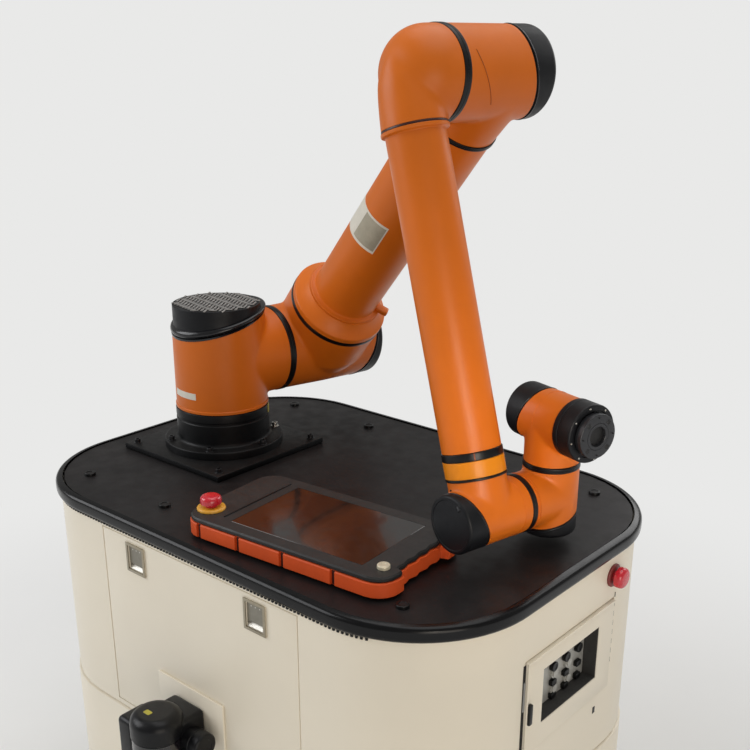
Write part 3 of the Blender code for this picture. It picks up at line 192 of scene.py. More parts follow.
def surface(name, colour, roughness, grain_mm, grain_depth_mm, mottle=0.05, mottle_mm=60.0, patch=0.06,
            stretch=(1, 1, 1), dust=0.0, **settings):
    """A finish with colour mottle, uneven gloss, a fine relief, and dust on what faces up."""
    made, tree, shader = start_material(name, {"Roughness": roughness, **settings})
    if tree is None:
        return made
    place = add_node(tree, "ShaderNodeTexCoord").outputs["Object"]
    long_way = add_node(tree, "ShaderNodeMapping", {"Scale": stretch}, {"Vector": place}).outputs[0]
    cloud = add_node(tree, "ShaderNodeTexNoise",
                     {"Scale": 1 / (mottle_mm * MM), "Detail": 4.0, "Roughness": 0.6},
                     {"Vector": place}).outputs[0]
    light = add_node(tree, "ShaderNodeMapRange", {"From Min": 0.3, "From Max": 0.7, "To Min": 1 - mottle,
                                                  "To Max": 1 + mottle}, {"Value": cloud}).outputs[0]
    tone = add_node(tree, "ShaderNodeHueSaturation", {"Color": (*colour, 1)}, {"Value": light}).outputs[0]
    if dust:
        up = add_node(tree, "ShaderNodeSeparateXYZ", {},
                      {0: add_node(tree, "ShaderNodeNewGeometry").outputs["Normal"]}).outputs[2]
        lies = add_node(tree, "ShaderNodeMapRange",
                        {"From Min": 0.5, "From Max": 1.0, "To Min": 0.0, "To Max": dust},
                        {"Value": up}).outputs[0]
        uneven = add_node(tree, "ShaderNodeMath", {"operation": "MULTIPLY"}, {0: lies, 1: cloud}).outputs[0]
        tone = add_node(tree, "ShaderNodeMix", {"data_type": "RGBA", 7: (*linear("#A59E93"), 1)},
                        {0: uneven, 6: tone}).outputs[2]
    tree.links.new(tone, shader.inputs["Base Color"])
    smear = add_node(tree, "ShaderNodeTexNoise", {"Scale": 1 / (mottle_mm * 0.35 * MM), "Detail": 3.0},
                     {"Vector": long_way}).outputs[0]
    gloss = add_node(tree, "ShaderNodeMapRange", {"From Min": 0.3, "From Max": 0.7,
                                                  "To Min": roughness - patch, "To Max": roughness + patch},
                     {"Value": smear}).outputs[0]
    tree.links.new(gloss, shader.inputs["Roughness"])
    grain = add_node(tree, "ShaderNodeTexNoise", {"Scale": 1 / (grain_mm * MM), "Detail": 2.0},
                     {"Vector": long_way}).outputs[0]
    relief = add_node(tree, "ShaderNodeBump", {"Strength": 1.0, "Distance": grain_depth_mm * MM},
                      {"Height": grain})
    tree.links.new(relief.outputs[0], shader.inputs["Normal"])
    return made


# The real finish stands above each row. A row holds its colour, or the setting that holds the colour,
# roughness, grain in mm and its depth, mottle and its size in mm, then what else differs from a plain case.
FINISHES = {
    # Two-part enamel sprayed on cast aluminium: smooth, satin, with a faint orange peel.
    "sprayed_enamel": ("orange", 0.4, 3.0, 0.03, 0.035, 90, {"patch": 0.05, "IOR": 1.37}),
    # The same enamel from another batch, a little yellower, on the forearm's end sleeve.
    "sleeve_enamel": ("sleeve", 0.38, 3.0, 0.03, 0.03, 60, {"patch": 0.05, "IOR": 1.37}),
    # Enamel darkened to brown as painted shade in a parting line; the band's clip takes the same brown.
    "brown_seam_shade_enamel": ("#8A3C0C", 0.55, 2.0, 0.02, 0.06, 20, {"IOR": 1.46}),
    # Glass-filled nylon, spark-eroded mould: an even fine grain and a dull sheen.
    "moulded_nylon": ("black", 0.44, 1.2, 0.05, 0.1, 40, {"dust": 0.02, "IOR": 1.3}),
    # The caps' beads and bevels: the same nylon from the polished part of the mould.
    "polished_nylon": ("black", 0.22, 2.0, 0.01, 0.08, 30,
                       {"patch": 0.05, "IOR": 1.42, "Coat Weight": 0.15, "Coat Roughness": 0.15}),
    # Nitrile seal ring: near black and a little greasy, so it is glossier than the caps.
    "nitrile_seal": ("#0E0E0F", 0.34, 2.0, 0.02, 0.08, 25, {"IOR": 1.34}),
    # Polyester powder coat baked on sheet steel: fine orange peel, soft sheen.
    "powder_coat": ("cream", 0.42, 2.2, 0.05, 0.018, 160,
                    {"patch": 0.05, "dust": 0.04, "IOR": 1.48, "Coat Weight": 0.08, "Coat Roughness": 0.3}),
    # Textured high-pressure laminate: close grain, low sheen, with a film of dust and scuffs.
    "textured_laminate": ("deck", 0.42, 1.6, 0.08, 0.2, 70, {"patch": 0.09, "dust": 0.02, "IOR": 1.3}),
    # Extruded PVC edging: smooth along its length, with a soft highlight.
    "extruded_pvc": ("trim", 0.22, 4.0, 0.03, 0.08, 50, {"patch": 0.05, "IOR": 1.34}),
    # Black-painted casting of the arm's foot: coarser grain than the caps.
    "painted_casting": ("#0B0C0E", 0.42, 1.8, 0.1, 0.15, 35, {"dust": 0.03, "IOR": 1.3}),
    # Satin nickel plate on the pendant's key barrel: warm and pale.
    "satin_nickel": ("#D9CFB6", 0.46, 0.9, 0.02, 0.06, 6, {"Metallic": 0.35}),
    # Light anodised plate behind the connector window, brushed along its length.
    "anodised_plate": ("#B7B6B0", 0.42, 0.8, 0.02, 0.08, 30, {"stretch": (1, 0.05, 1), "Metallic": 0.25}),
    # Black thermoset of the sockets' dust caps: deep black with a low gloss.
    "black_thermoset": ("#0B0B0C", 0.34, 1.0, 0.02, 0.1, 10, {"IOR": 1.38}),
    # Charcoal, quite dull sheets of painted shade in the panel's open side gap and in its hinge slots.
    "gap_shade_charcoal": ("#1B1A19", 0.8, 1.2, 0.15, 0.15, 8, {"IOR": 1.45}),
    # Dark grey sheets round the connector window: painted shade on the window's sides.
    "window_shade_grey": ("#3C3B39", 0.75, 1.2, 0.12, 0.12, 10, {"IOR": 1.4}),
    # Grey rubber pad in the panel's open side.
    "grey_pad": ("#8E8F8C", 0.5, 1.5, 0.05, 0.1, 10, {"IOR": 1.5}),
    # Stainless latch frame, satin brushed upright, a little tarnished.
    "brushed_stainless": ("#A49B88", 0.34, 0.7, 0.02, 0.08, 12, {"stretch": (1, 1, 0.06), "Metallic": 0.85}),
    # Stainless paddle inside the latch: duller than its frame.
    "bead_blasted_stainless": ("#8C887D", 0.46, 0.6, 0.03, 0.08, 8, {"Metallic": 0.55}),
    # Zinc-plated screws: bright, with dull patches.
    "zinc_plate": ("#C3C1BA", 0.28, 0.9, 0.02, 0.1, 6, {"patch": 0.1, "Metallic": 1.0}),
    # Foot of the latch cup and its stamped marks: stainless painted pale, a painted highlight of the ceiling's
    # light.
    "pale_stainless_painted_highlight": ("#D8D5CC", 0.38, 0.9, 0.01, 0.06, 6, {"Metallic": 0.45}),
    # Black nylon of the scanners, smoother than the arm's caps.
    "scanner_nylon": ("#0D0E11", 0.34, 1.4, 0.03, 0.1, 30, {"dust": 0.01, "IOR": 1.36}),
    # Blackened socket screws.
    "black_oxide": ("#2B2B2D", 0.36, 0.8, 0.02, 0.12, 6, {"Metallic": 0.6}),
    # Hard-anodised tool flange: dark grey metal with fine turning marks.
    "hard_anodised": ("#2C2D30", 0.36, 0.7, 0.02, 0.06, 15, {"Metallic": 0.4}),
    # Gloss moulded polycarbonate of the stop buttons.
    "gloss_red_polycarbonate": ("red", 0.24, 3.0, 0.01, 0.04, 20,
                                {"patch": 0.04, "Coat Weight": 0.3, "IOR": 1.58}),
    # Red moulded collar of the cart's stop buttons, painted dark red-brown as the shade on a red collar.
    "red_abs_painted_shade": ("#7C2A26", 0.42, 1.5, 0.03, 0.06, 12, {"IOR": 1.54}),
    # Yellow moulded collar of the pendant's stop button.
    "yellow_abs": ("#E3A531", 0.4, 1.5, 0.03, 0.05, 12, {"IOR": 1.54}),
    # Thermoplastic rubber bumper: dull, evenly grained, rubbed lighter in places.
    "moulded_tpe": ("bumper", 0.58, 1.0, 0.05, 0.06, 30, {"IOR": 1.42}),
    # The bumper's slots, where its rubber is in its own shade.
    "shaded_tpe": ("#3A1208", 0.65, 1.0, 0.04, 0.1, 10, {"IOR": 1.42}),
    # Dark grey ABS of the pendant's case, with a matt mould grain.
    "dark_abs": ("#242424", 0.46, 0.9, 0.04, 0.08, 30, {"dust": 0.04, "IOR": 1.4}),
    # Hardened glass over an unlit panel: brown-black, smooth, smeared by fingers.
    "screen_glass": ("#241F1D", 0.16, 40.0, 0.0, 0.15, 60,
                     {"patch": 0.08, "IOR": 1.55, "Coat Weight": 0.6, "Coat Roughness": 0.06}),
    # Dark infrared window of a scanner: deep red-black and glossy.
    "infrared_window": ("#120D12", 0.14, 20.0, 0.0, 0.05, 20, {"IOR": 1.55, "Coat Weight": 0.4}),
    # Bare pale vinyl: slightly creased, satin.
    "bare_vinyl": ("#E0DBCD", 0.36, 6.0, 0.08, 0.05, 12, {"IOR": 1.45}),
    # Yellow-green polyester tag.
    "tag_polyester": ("#B9AE3A", 0.45, 2.0, 0.03, 0.06, 8, {"IOR": 1.5}),
    # The grid's ribs: nylon rubbed and dusted to a silver grey on top.
    "rubbed_nylon": ("#8F8D8A", 0.4, 1.0, 0.03, 0.3, 5, {"patch": 0.1, "Metallic": 0.15}),
    # Aged seal under the elbow bulb: red-brown rubber.
    "wine_seal": ("#3A1712", 0.4, 2.0, 0.02, 0.1, 15, {"IOR": 1.5}),
    # Bare silvered polyester field on the pale label: greyer and glossier than the vinyl round it.
    "silvered_polyester": ("#AAA28E", 0.34, 5.0, 0.06, 0.1, 14, {"IOR": 1.5, "Metallic": 0.2}),
    # Shade inside the flange's bore and holes.
    "hole_shade": ("#060607", 0.6, 2.0, 0.01, 0.05, 60, {}),
}


def finish(name):
    """The material of that name, made on its first use."""
    colour, roughness, grain_mm, grain_depth_mm, mottle, mottle_mm, more = FINISHES[name]
    chosen = linear(colour) if colour.startswith("#") else getattr(bpy.context.scene.robot_finish, colour)
    return surface(name, chosen, roughness, grain_mm, grain_depth_mm, mottle, mottle_mm, **more)


# Mesh helpers

def move_by(x, y, z):
    """Matrix that moves by three lengths."""
    return Matrix.Translation((x, y, z))


def turn_by(degrees, axis="Z"):
    """Matrix that turns about one axis."""
    return Matrix.Rotation(math.radians(degrees), 4, axis)


def spun(profile, pairs_with, steps):
    """Turns a profile of (radius, height) pairs about Z, once each point joins the one it pairs with."""
    shape = bmesh.new()
    points = [shape.verts.new((radius, 0, height)) for radius, height in profile]
    edges = [shape.edges.new(pair) for pair in zip(points, pairs_with(points))]
    bmesh.ops.spin(shape, geom=points + edges, cent=(0, 0, 0), axis=(0, 0, 1), angle=2 * math.pi, steps=steps,
                   use_merge=True)
    bmesh.ops.remove_doubles(shape, verts=shape.verts, dist=MERGE)
    bmesh.ops.recalc_face_normals(shape, faces=shape.faces)
    return shape


def lathe(profile, steps=ROUND):
    """A closed solid turned about Z from (radius, height) pairs. An end off the axis is closed to it."""
    start = [(0, profile[0][1])] if profile[0][0] else []
    end = [(0, profile[-1][1])] if profile[-1][0] else []
    return spun(start + profile + end, lambda points: points[1:], steps)


def ring_lathe(profile, steps=ROUND):
    """A closed ring turned about Z from a closed outline of (radius, height) pairs."""
    return spun(profile, lambda points: points[1:] + points[:1], steps)


def arc(cx, cy, radius, start, end, turns=6):
    """Points of an arc in the profile plane, angles in degrees from the outward direction."""
    angles = [math.radians(start + (end - start) * i / turns) for i in range(turns + 1)]
    return [(cx + radius * math.cos(angle), cy + radius * math.sin(angle)) for angle in angles]


def eased(points, turns=4):
    """Points of a smooth curve through the given ones."""
    curve = []
    for i in range(len(points) - 1):
        before, start = Vector(points[max(i - 1, 0)]), Vector(points[i])
        end, after = Vector(points[i + 1]), Vector(points[min(i + 2, len(points) - 1)])
        for step in range(turns):
            t = step / turns
            bend = 2 * before - 5 * start + 4 * end - after
            swing = 3 * start - before - 3 * end + after
            curve.append(tuple(0.5 * (2 * start + (end - before) * t + bend * t ** 2 + swing * t ** 3)))
    return curve + [tuple(points[-1])]


def wrapped_patch(radius, start, end, low, high, thick=0.3 * MM, rise=0.0):
    """A thin sheet wrapped on a barrel between two angles; rise lifts its far end along the barrel."""
    shape = bmesh.new()
    face = shape.faces.new([shape.verts.new(p) for p in ((radius, 0, low), (radius + thick, 0, low),
                                                         (radius + thick, 0, high), (radius, 0, high))])
    sweep = math.radians(end - start)
    bmesh.ops.spin(shape, geom=face.verts[:] + face.edges[:] + [face], cent=(0, 0, 0), axis=(0, 0, 1),
                   angle=sweep,
                   steps=max(4, int((end - start) / 3)))
    for vert in shape.verts:
        vert.co.z += rise * max(0.0, math.atan2(vert.co.y, vert.co.x)) / sweep
    return moved(shape, turn_by(start))


def wire_arc(radius, height, wire, start, sweep):
    """A wire laid round a barrel, or round part of it."""
    shape = bmesh.new()
    circle = bmesh.ops.create_circle(shape, segments=8, radius=wire, cap_ends=sweep < 360,
                                     matrix=move_by(radius, 0, height) @ turn_by(90, "X"))
    geometry = circle["verts"] + shape.edges[:] + shape.faces[:]
    bmesh.ops.spin(shape, geom=geometry, cent=(0, 0, 0), axis=(0, 0, 1), angle=math.radians(sweep),
                   steps=max(12, int(sweep / 3.75)), use_merge=sweep >= 360)
    bmesh.ops.remove_doubles(shape, verts=shape.verts, dist=MERGE)
    return moved(shape, turn_by(start))


def rounded_box(length, width, height, edge=0.0, segments=3, corner=0.0, corner_segments=8):
    """A block with rounded upright corners and rounded edges."""
    shape = bmesh.new()
    bmesh.ops.create_cube(shape, size=1.0, matrix=Matrix.Diagonal((length, width, height, 1)))
    if corner:
        upright = [e for e in shape.edges if abs(e.verts[0].co.z - e.verts[1].co.z) > height / 2]
        bmesh.ops.bevel(shape, geom=upright, offset=corner, segments=corner_segments, profile=0.5,
                        affect="EDGES", material=-1)
    if edge:
        flat = [e for e in shape.edges if e.calc_face_angle(0) > math.radians(40)]
        bmesh.ops.bevel(shape, geom=flat, offset=edge, segments=segments, profile=0.5, affect="EDGES",
                        material=-1)
    return shape


def join(shapes):
    """All the shapes in one, each freed after it is copied."""
    whole = bmesh.new()
    for shape in shapes:
        part = bpy.data.meshes.new("part")
        shape.to_mesh(part)
        shape.free()
        whole.from_mesh(part)
        bpy.data.meshes.remove(part)
    return whole


def moved(shape, matrix):
    """The shape after a transform."""
    bmesh.ops.transform(shape, matrix=matrix, verts=shape.verts)
    return shape


def open_frame(block, axis, margin):
    """Turns a block into a frame that is open along an axis, with one margin all round."""
    for way in (1, -1):
        faces = [f for f in block.faces if f.normal[axis] * way > FACING]
        bmesh.ops.inset_region(block, faces=faces, thickness=margin, use_even_offset=True)
        bmesh.ops.delete(block, geom=faces, context="FACES_ONLY")
    bmesh.ops.bridge_loops(block, edges=[e for e in block.edges if e.is_boundary])
    return block


def cut(shape, point, normal):
    """Removes what lies beyond the plane and closes the cut."""
    found = bmesh.ops.bisect_plane(shape, geom=shape.verts[:] + shape.edges[:] + shape.faces[:], dist=1e-7,
                                   plane_co=point, plane_no=normal, clear_outer=True)
    rim = [g for g in found["geom_cut"] if isinstance(g, bmesh.types.BMEdge)]
    bmesh.ops.holes_fill(shape, edges=rim, sides=0)
    return shape


def add_piece(name, shape, material, body, replaces=(), sharp=32.0, at=None):
    """Makes the shape a smooth-shaded piece that rides on a body and stands for the named nodes."""
    if at is not None:
        moved(shape, at)
    bmesh.ops.recalc_face_normals(shape, faces=shape.faces)
    mesh = bpy.data.meshes.new(name)
    shape.to_mesh(mesh)
    shape.free()
    mesh.shade_smooth()
    mesh.set_sharp_from_angle(angle=math.radians(sharp))
    mesh.materials.append(finish(material))
    piece = bpy.data.objects.new(name, mesh)
    bpy.context.scene.collection.objects.link(piece)
    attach(piece, body)
    if replaces:
        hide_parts(*replaces)
    return piece


def frame_body(node):
    """The body that a CAD node rides on."""
    return next(body for body, nodes in frame["record"]["behaviour"]["bodies"].items() if node in nodes)


def keep_node(name, material, angle=32.0):
    """A CAD node that stays: it gets its finish, and its facets are shaded round."""
    node = frame["nodes"][name]
    node.data.materials.clear()
    node.data.materials.append(finish(material))
    weld = node.modifiers.new("Weld", "WELD")
    weld.merge_threshold = 1e-5
    node.data.shade_smooth()
    split = node.modifiers.new("Edges", "EDGE_SPLIT")
    split.split_angle = math.radians(angle)
    return node


def cast(name, solids, passes, voxel):
    """Fuses overlapping solids into one skin and softens it where they meet, as a casting's fillet."""
    rough = bpy.data.meshes.new(name + "_rough")
    whole = join(solids)
    bmesh.ops.triangulate(whole, faces=whole.faces)
    whole.to_mesh(rough)
    whole.free()
    blank = bpy.data.objects.new(name + "_rough", rough)
    bpy.context.scene.collection.objects.link(blank)
    remesh = blank.modifiers.new("Skin", "REMESH")
    remesh.mode = "VOXEL"
    remesh.voxel_size = voxel
    skin = bpy.data.meshes.new_from_object(blank.evaluated_get(bpy.context.evaluated_depsgraph_get()))
    bpy.data.objects.remove(blank)
    bpy.data.meshes.remove(rough)
    shape = bmesh.new()
    shape.from_mesh(skin)
    bpy.data.meshes.remove(skin)
    for _ in range(passes):
        bmesh.ops.smooth_vert(shape, verts=shape.verts, factor=0.5, use_axis_x=True, use_axis_y=True,
                              use_axis_z=True)
    return shape


def tilted(angle):
    """Normal of a seam plane that leans out on the branch side."""
    return Vector((0, -math.sin(angle), math.cos(angle)))


def sheared(angle):
    """Lifts a flat ring into the slanted seam of a barrel."""
    matrix = Matrix.Identity(4)
    matrix[2][1] = math.tan(angle)
    return matrix


class RobotOperator:
    """What the operators share."""
    bl_options = {"REGISTER", "UNDO"}

    @classmethod
    def poll(cls, context):
        return context.scene is not None


# Arm castings

CAST_TILT = math.radians(15.0)
WRIST_TILT = math.radians(19.0)
HOUSING_SIZES = {
    # radius of the barrel, seam of the cap, end of the cap, cap edge, slant of the seam
    "shoulder": (0.0800, 0.2310, 0.2630, 0.0030, CAST_TILT),
    "upper_arm": (0.0775, 0.2700, 0.3035, 0.0080, CAST_TILT),
    "elbow": (0.0645, 0.2400, 0.2710, 0.0080, CAST_TILT),
    "forearm_end": (0.0415, 0.0310, 0.0605, 0.0045, WRIST_TILT),
    "wrist_1": (0.0405, 0.0310, 0.0580, 0.0080, WRIST_TILT),
    "wrist_2": (0.0400, 0.0300, 0.0600, 0.0045, WRIST_TILT),
}
RING_CENTRE = 0.1043
RING_WIDTH = 0.0120
J2_RADIUS = 0.0755
COLLAR_START = 0.1010
SMALL_RING_CENTRE = 0.0605
SMALL_RING_WIDTH = 0.0090
UPRIGHT_RING_CENTRE = 0.0465
UPRIGHT_RING_WIDTH = 0.0080
BULB_RADIUS = 0.0645
BULB_CENTRE = 0.0320
BULB_REACH = 0.0600
BULB_NECK = 0.0670
BULB_NECK_RADIUS = 0.0455
BULB_NECK_SHARES = ((1, 1), (0.945, 0.57), (0.885, 0.24), (0.80, 0.0), (0.48, -0.45), (0.0, -0.70))
BAND_START = 0.0920
BAND_WIDTH = 0.0110
SLEEVE_END = 0.0553
SPARE = 0.020
ELBOW_NECK = 0.0840
NECK_RING = 0.0070
NECK_RING_RADIUS = 0.0602
WRIST_FRONT = 0.0420
TURNING_GAP = 0.0004


class ROBOT_OT_castings(RobotOperator, bpy.types.Operator):
    """Casts the six T-shaped housings and the elbow bulb with soft fillets where barrels meet"""
    bl_idname = "robot.castings"
    bl_label = "Arm castings"

    def casting(self, context, name, solids, planes, at, body, node, softer=1.0):
        """Fuses the solids, softens them where they meet and cuts them off at the planes."""
        sizes = context.scene.robot_arm
        shape = cast(name, solids, int(sizes.blend * softer), sizes.voxel)
        for point, normal in planes:
            cut(shape, point, normal)
        add_piece(name, shape, "sprayed_enamel", body, (node,), at=at)

    def housing(self, context, name, at, body, bottom, branch, reach, lift=0.0, waist=()):
        """A barrel from its slanted seam to its bottom, with a branch at a height that ends at its reach."""
        radius, seam, _, _, tilt = HOUSING_SIZES[name]
        barrel = lathe([(radius, seam + radius), *(waist or [(radius, bottom - SPARE)])])
        side = moved(lathe(branch), move_by(0, 0, lift) @ turn_by(-90, "X"))
        planes = [((0, 0, seam), tilted(tilt)), ((0, 0, bottom), -Z), ((0, reach, 0), Y)]
        self.casting(context, name + "_casting", [barrel, side], planes, at, body, name + "_housing")

    def bulb(self, context):
        """The elbow bulb: a dome on the elbow's side that runs down into the forearm's neck."""
        face = RING_CENTRE - RING_WIDTH / 2 - TURNING_GAP - FORE_SIDE
        quarter = [(BULB_RADIUS * math.cos(a), BULB_CENTRE - BULB_REACH * math.sin(a))
                   for a in (math.pi / 2 * i / 24 for i in range(24))]
        dome = lathe([(BULB_RADIUS, face + SPARE)] + quarter + [(0, BULB_CENTRE - BULB_REACH)])
        side = eased([(BULB_NECK_RADIUS * r, BULB_NECK * z) for r, z in BULB_NECK_SHARES])
        neck = moved(lathe([(BULB_NECK_RADIUS, BULB_NECK + SPARE)] + side), turn_by(-90, "X"))
        self.casting(context, "elbow_bulb", [dome, neck], [((0, 0, face), Z), ((0, BULB_NECK, 0), Y)],
                     AT_BULB,
                     "forearm", "forearm_bulb", softer=3.0)

    def execute(self, context):
        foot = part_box("shoulder_housing")[0].z - DECK_TOP
        face = RING_CENTRE - RING_WIDTH / 2 - FIT
        self.housing(context, "shoulder", AT_BASE, "shoulder", foot,
                     [(J2_RADIUS, face + SPARE), (J2_RADIUS, 0)], face, SHOULDER.z - DECK_TOP)
        start = RING_CENTRE + RING_WIDTH / 2 + TURNING_GAP
        self.housing(context, "upper_arm", AT_SHOULDER, "upper_arm", start,
                     [(0.086, COLLAR_START + SPARE), (0.086, COLLAR_START), (0.0855, 0.030), (0.0775, 0.0)],
                     COLLAR_START, UPPER_SIDE,
                     [(HOUSING_SIZES["upper_arm"][0], UPPER_SIDE), (J2_RADIUS, start),
                      (J2_RADIUS, start - SPARE)])
        start = RING_CENTRE + RING_WIDTH / 2 + FIT
        end = ELBOW_NECK - FIT
        self.housing(context, "elbow", AT_ELBOW, "upper_arm", start,
                     [(0.0592, end + SPARE), (0.0592, end), (0.0640, 0.012), (0.0640, 0)], end, UPPER_SIDE)
        self.bulb(context)
        face = SMALL_RING_CENTRE - SMALL_RING_WIDTH / 2 - FIT
        self.housing(context, "forearm_end", AT_END, "forearm", -face,
                     [(0.0412, SLEEVE_END + SPARE), (0.0412, 0.030), (0.0410, 0)], SLEEVE_END - 2 * MM)
        top = UPRIGHT_RING_CENTRE - UPRIGHT_RING_WIDTH / 2 - FIT
        side = (WRIST_UP - WRIST).length - SMALL_RING_CENTRE - SMALL_RING_WIDTH / 2 - TURNING_GAP
        self.housing(context, "wrist_1", AT_WRIST_1, "wrist_1", -top, [(0.0412, side + SPARE), (0.0410, 0)],
                     side)
        foot = WRIST_RISE - UPRIGHT_RING_CENTRE - UPRIGHT_RING_WIDTH / 2 - TURNING_GAP
        self.housing(context, "wrist_2", AT_WRIST_2, "wrist_2", -WRIST_FRONT,
                     [(0.0398, foot + SPARE), (0.0396, 0)], foot)
        return {"FINISHED"}


class ROBOT_OT_parting_lines(RobotOperator, bpy.types.Operator):
    """Lays the castings' fine parting lines, ribs and small screws"""
    bl_idname = "robot.parting_lines"
    bl_label = "Parting lines"

    def rib(self, name, at, body, radius, height, wire=0.5 * MM, start=0.0, sweep=360.0):
        """A wire-thin rib round a barrel, or round part of it."""
        rib = wire_arc(radius, height, wire, start, sweep)
        add_piece(name, rib, "sprayed_enamel", body, at=at)

    def execute(self, context):
        # The elbow's parting line: a thin wire in brown enamel, painted shade along the seam.
        seam = wire_arc(0.0646, 0.0, 0.45 * MM, 288, 66)
        slope = Matrix.Identity(4)
        slope[2][0], slope[2][1], slope[2][3] = 0.1584, 0.4896, 0.15047
        add_piece("elbow_parting_line", seam, "brown_seam_shade_enamel", "upper_arm", at=AT_ELBOW @ slope)
        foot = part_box("shoulder_housing")[0].z - DECK_TOP
        hem = ring_lathe([(0.0785, foot + 0.0002), (0.0806, foot + 0.0002), (0.0811, foot + 0.0008),
                          (0.0811, foot + 0.0048), (0.0800, foot + 0.0058), (0.0785, foot + 0.0058)])
        add_piece("shoulder_hem", hem, "sprayed_enamel", "shoulder", at=AT_BASE)
        self.rib("end_rib", AT_END, "forearm", HOUSING_SIZES["forearm_end"][0], -0.0420)
        branch = facing(WRIST, ACROSS, -FORE_ALONG)
        self.rib("wrist_rib_near", branch, "wrist_1", 0.0414, 0.0675, 0.45 * MM)
        self.rib("wrist_rib_far", branch, "wrist_1", 0.0413, 0.0715, 0.45 * MM)
        self.rib("wrist_front_rib", AT_WRIST_2, "wrist_2", 0.0400, 0.0008, 0.35 * MM, 170, 200)
        at = AT_FORE @ turn_by(281) @ move_by(0.0411, 0, 0.5513)
        screw = moved(cap_screw(0.0022), turn_by(90, "Y"))
        add_piece("sleeve_screw", screw, "black_oxide", "forearm", at=at)
        tag = wrapped_patch(0.0816, 44, 54, 0.0665, 0.0820, 0.5 * MM)
        add_piece("foot_tag", tag, "tag_polyester", "stand", at=AT_BASE)
        return {"FINISHED"}


class ROBOT_OT_bare_labels(RobotOperator, bpy.types.Operator):
    """Lays the bare pale labels on the shoulder and the upper arm's tube"""
    bl_idname = "robot.bare_labels"
    bl_label = "Bare labels"

    def execute(self, context):
        strip = wrapped_patch(0.08005, 257, 297, 0.1085, 0.1200)
        add_piece("shoulder_label", strip, "bare_vinyl", "shoulder", at=AT_BASE)
        sheet = wrapped_patch(0.05825, 216, 309, 0.2925, 0.3545, rise=0.011)
        add_piece("tube_label", sheet, "bare_vinyl", "upper_arm", at=AT_UPPER)
        field = wrapped_patch(0.0584, 262, 307, 0.3030, 0.3560, rise=0.0053)
        add_piece("tube_label_field", field, "silvered_polyester", "upper_arm", at=AT_UPPER)
        return {"FINISHED"}


class ROBOT_OT_tubes(RobotOperator, bpy.types.Operator):
    """Turns the upper arm's and the forearm's tubes with their lips, lines and stepped collar"""
    bl_idname = "robot.tubes"
    bl_label = "Arm tubes"

    def execute(self, context):
        foot = COLLAR_START + FIT
        top = UPPER_LENGTH - ELBOW_NECK - NECK_RING - FIT
        collar = [(0.0577, top), (0.0582, top - 0.0005), (0.0582, foot + 0.0475)]
        collar += arc(0.0602, foot + 0.0465, 0.0020, 180, 255, 4)
        collar += [(0.0640, foot + 0.0436)] + arc(0.0650, foot + 0.0425, 0.0012, 80, 0, 3)
        collar += [(0.0662, foot + 0.0412), (0.0650, foot + 0.0406), (0.0650, foot + 0.0396),
                   (0.0668, foot + 0.0390)]
        collar += arc(0.0664, foot + 0.0378, 0.0014, 60, 20, 3)
        collar += [(0.0828, foot + 0.0200)] + arc(0.0826, foot + 0.0165, 0.0034, 50, 0, 5)
        collar += [(0.0860, foot + 0.0088), (0.0853, foot + 0.0083), (0.0840, foot + 0.0082), (0.0840, foot)]
        add_piece("upper_arm_skin", lathe(collar), "sprayed_enamel", "upper_arm", ("upper_arm_tube",),
                  at=AT_UPPER)
        line = ring_lathe([(0.0840, foot + 0.0001), (0.0862, foot + 0.0003), (0.0867, foot + 0.0012),
                           (0.0867, foot + 0.0070), (0.0862, foot + 0.0079), (0.0840, foot + 0.0081)])
        add_piece("collar_line", line, "nitrile_seal", "upper_arm", at=AT_UPPER)
        tab = rounded_box(0.024, 0.015, 0.010, edge=0.0026, segments=3)
        add_piece("collar_tab", tab, "sprayed_enamel", "upper_arm",
                  at=AT_UPPER @ turn_by(44) @ move_by(0.0690, 0, foot + 0.0470))

        start = BULB_NECK + FIT
        band = FORE_LENGTH - BAND_START
        tube = [(0.0407, band), (0.0412, band - 0.0005), (0.0412, start + 0.0120)]
        tube += arc(0.0432, start + 0.0110, 0.0020, 180, 260, 4)
        tube += arc(0.0448, start + 0.0068, 0.0016, 80, 0, 4)
        tube += [(0.0464, start + 0.0040), (0.0460, start + 0.0034), (0.0440, start + 0.0032),
                 (0.0440, start)]
        add_piece("forearm_skin", lathe(tube), "sprayed_enamel", "forearm", ("forearm_tube",), at=AT_FORE)
        line = ring_lathe([(0.0440, start + 0.0001), (0.0451, start + 0.0003), (0.0454, start + 0.0012),
                           (0.0454, start + 0.0026), (0.0440, start + 0.0031)])
        add_piece("bulb_line", line, "wine_seal", "forearm", at=AT_FORE)

        band += FIT
        hoop = lathe([(0.0417, band + BAND_WIDTH)]
                     + arc(0.0416, band + BAND_WIDTH - 0.0010, 0.0010, 60, 0, 3)
                     + arc(0.0416, band + 0.0010, 0.0010, 0, -60, 3) + [(0.0417, band)])
        add_piece("forearm_band_ring", hoop, "nitrile_seal", "forearm", ("forearm_band",), at=AT_FORE)
        clip = wrapped_patch(0.0424, 216, 218.5, band + 0.0006, band + BAND_WIDTH - 0.0006, 0.5 * MM)
        add_piece("band_clip", clip, "brown_seam_shade_enamel", "forearm", at=AT_FORE)
        low = band + BAND_WIDTH + FIT
        high = FORE_LENGTH - SLEEVE_END - 0.0020
        sleeve = lathe([(0.0414, high)] + arc(0.0415, high - 0.0008, 0.0009, 60, 0, 3)
                       + arc(0.0415, low + 0.0008, 0.0009, 0, -60, 3) + [(0.0414, low)])
        add_piece("forearm_sleeve", sleeve, "sleeve_enamel", "forearm", at=AT_FORE)
        line = ring_lathe([(0.0400, high), (0.0426, high + 0.0002), (0.0429, high + 0.0008),
                           (0.0429, high + 0.0032),
                           (0.0426, high + 0.0038), (0.0400, high + 0.0040)])
        add_piece("sleeve_line", line, "nitrile_seal", "forearm", at=AT_FORE)
        return {"FINISHED"}


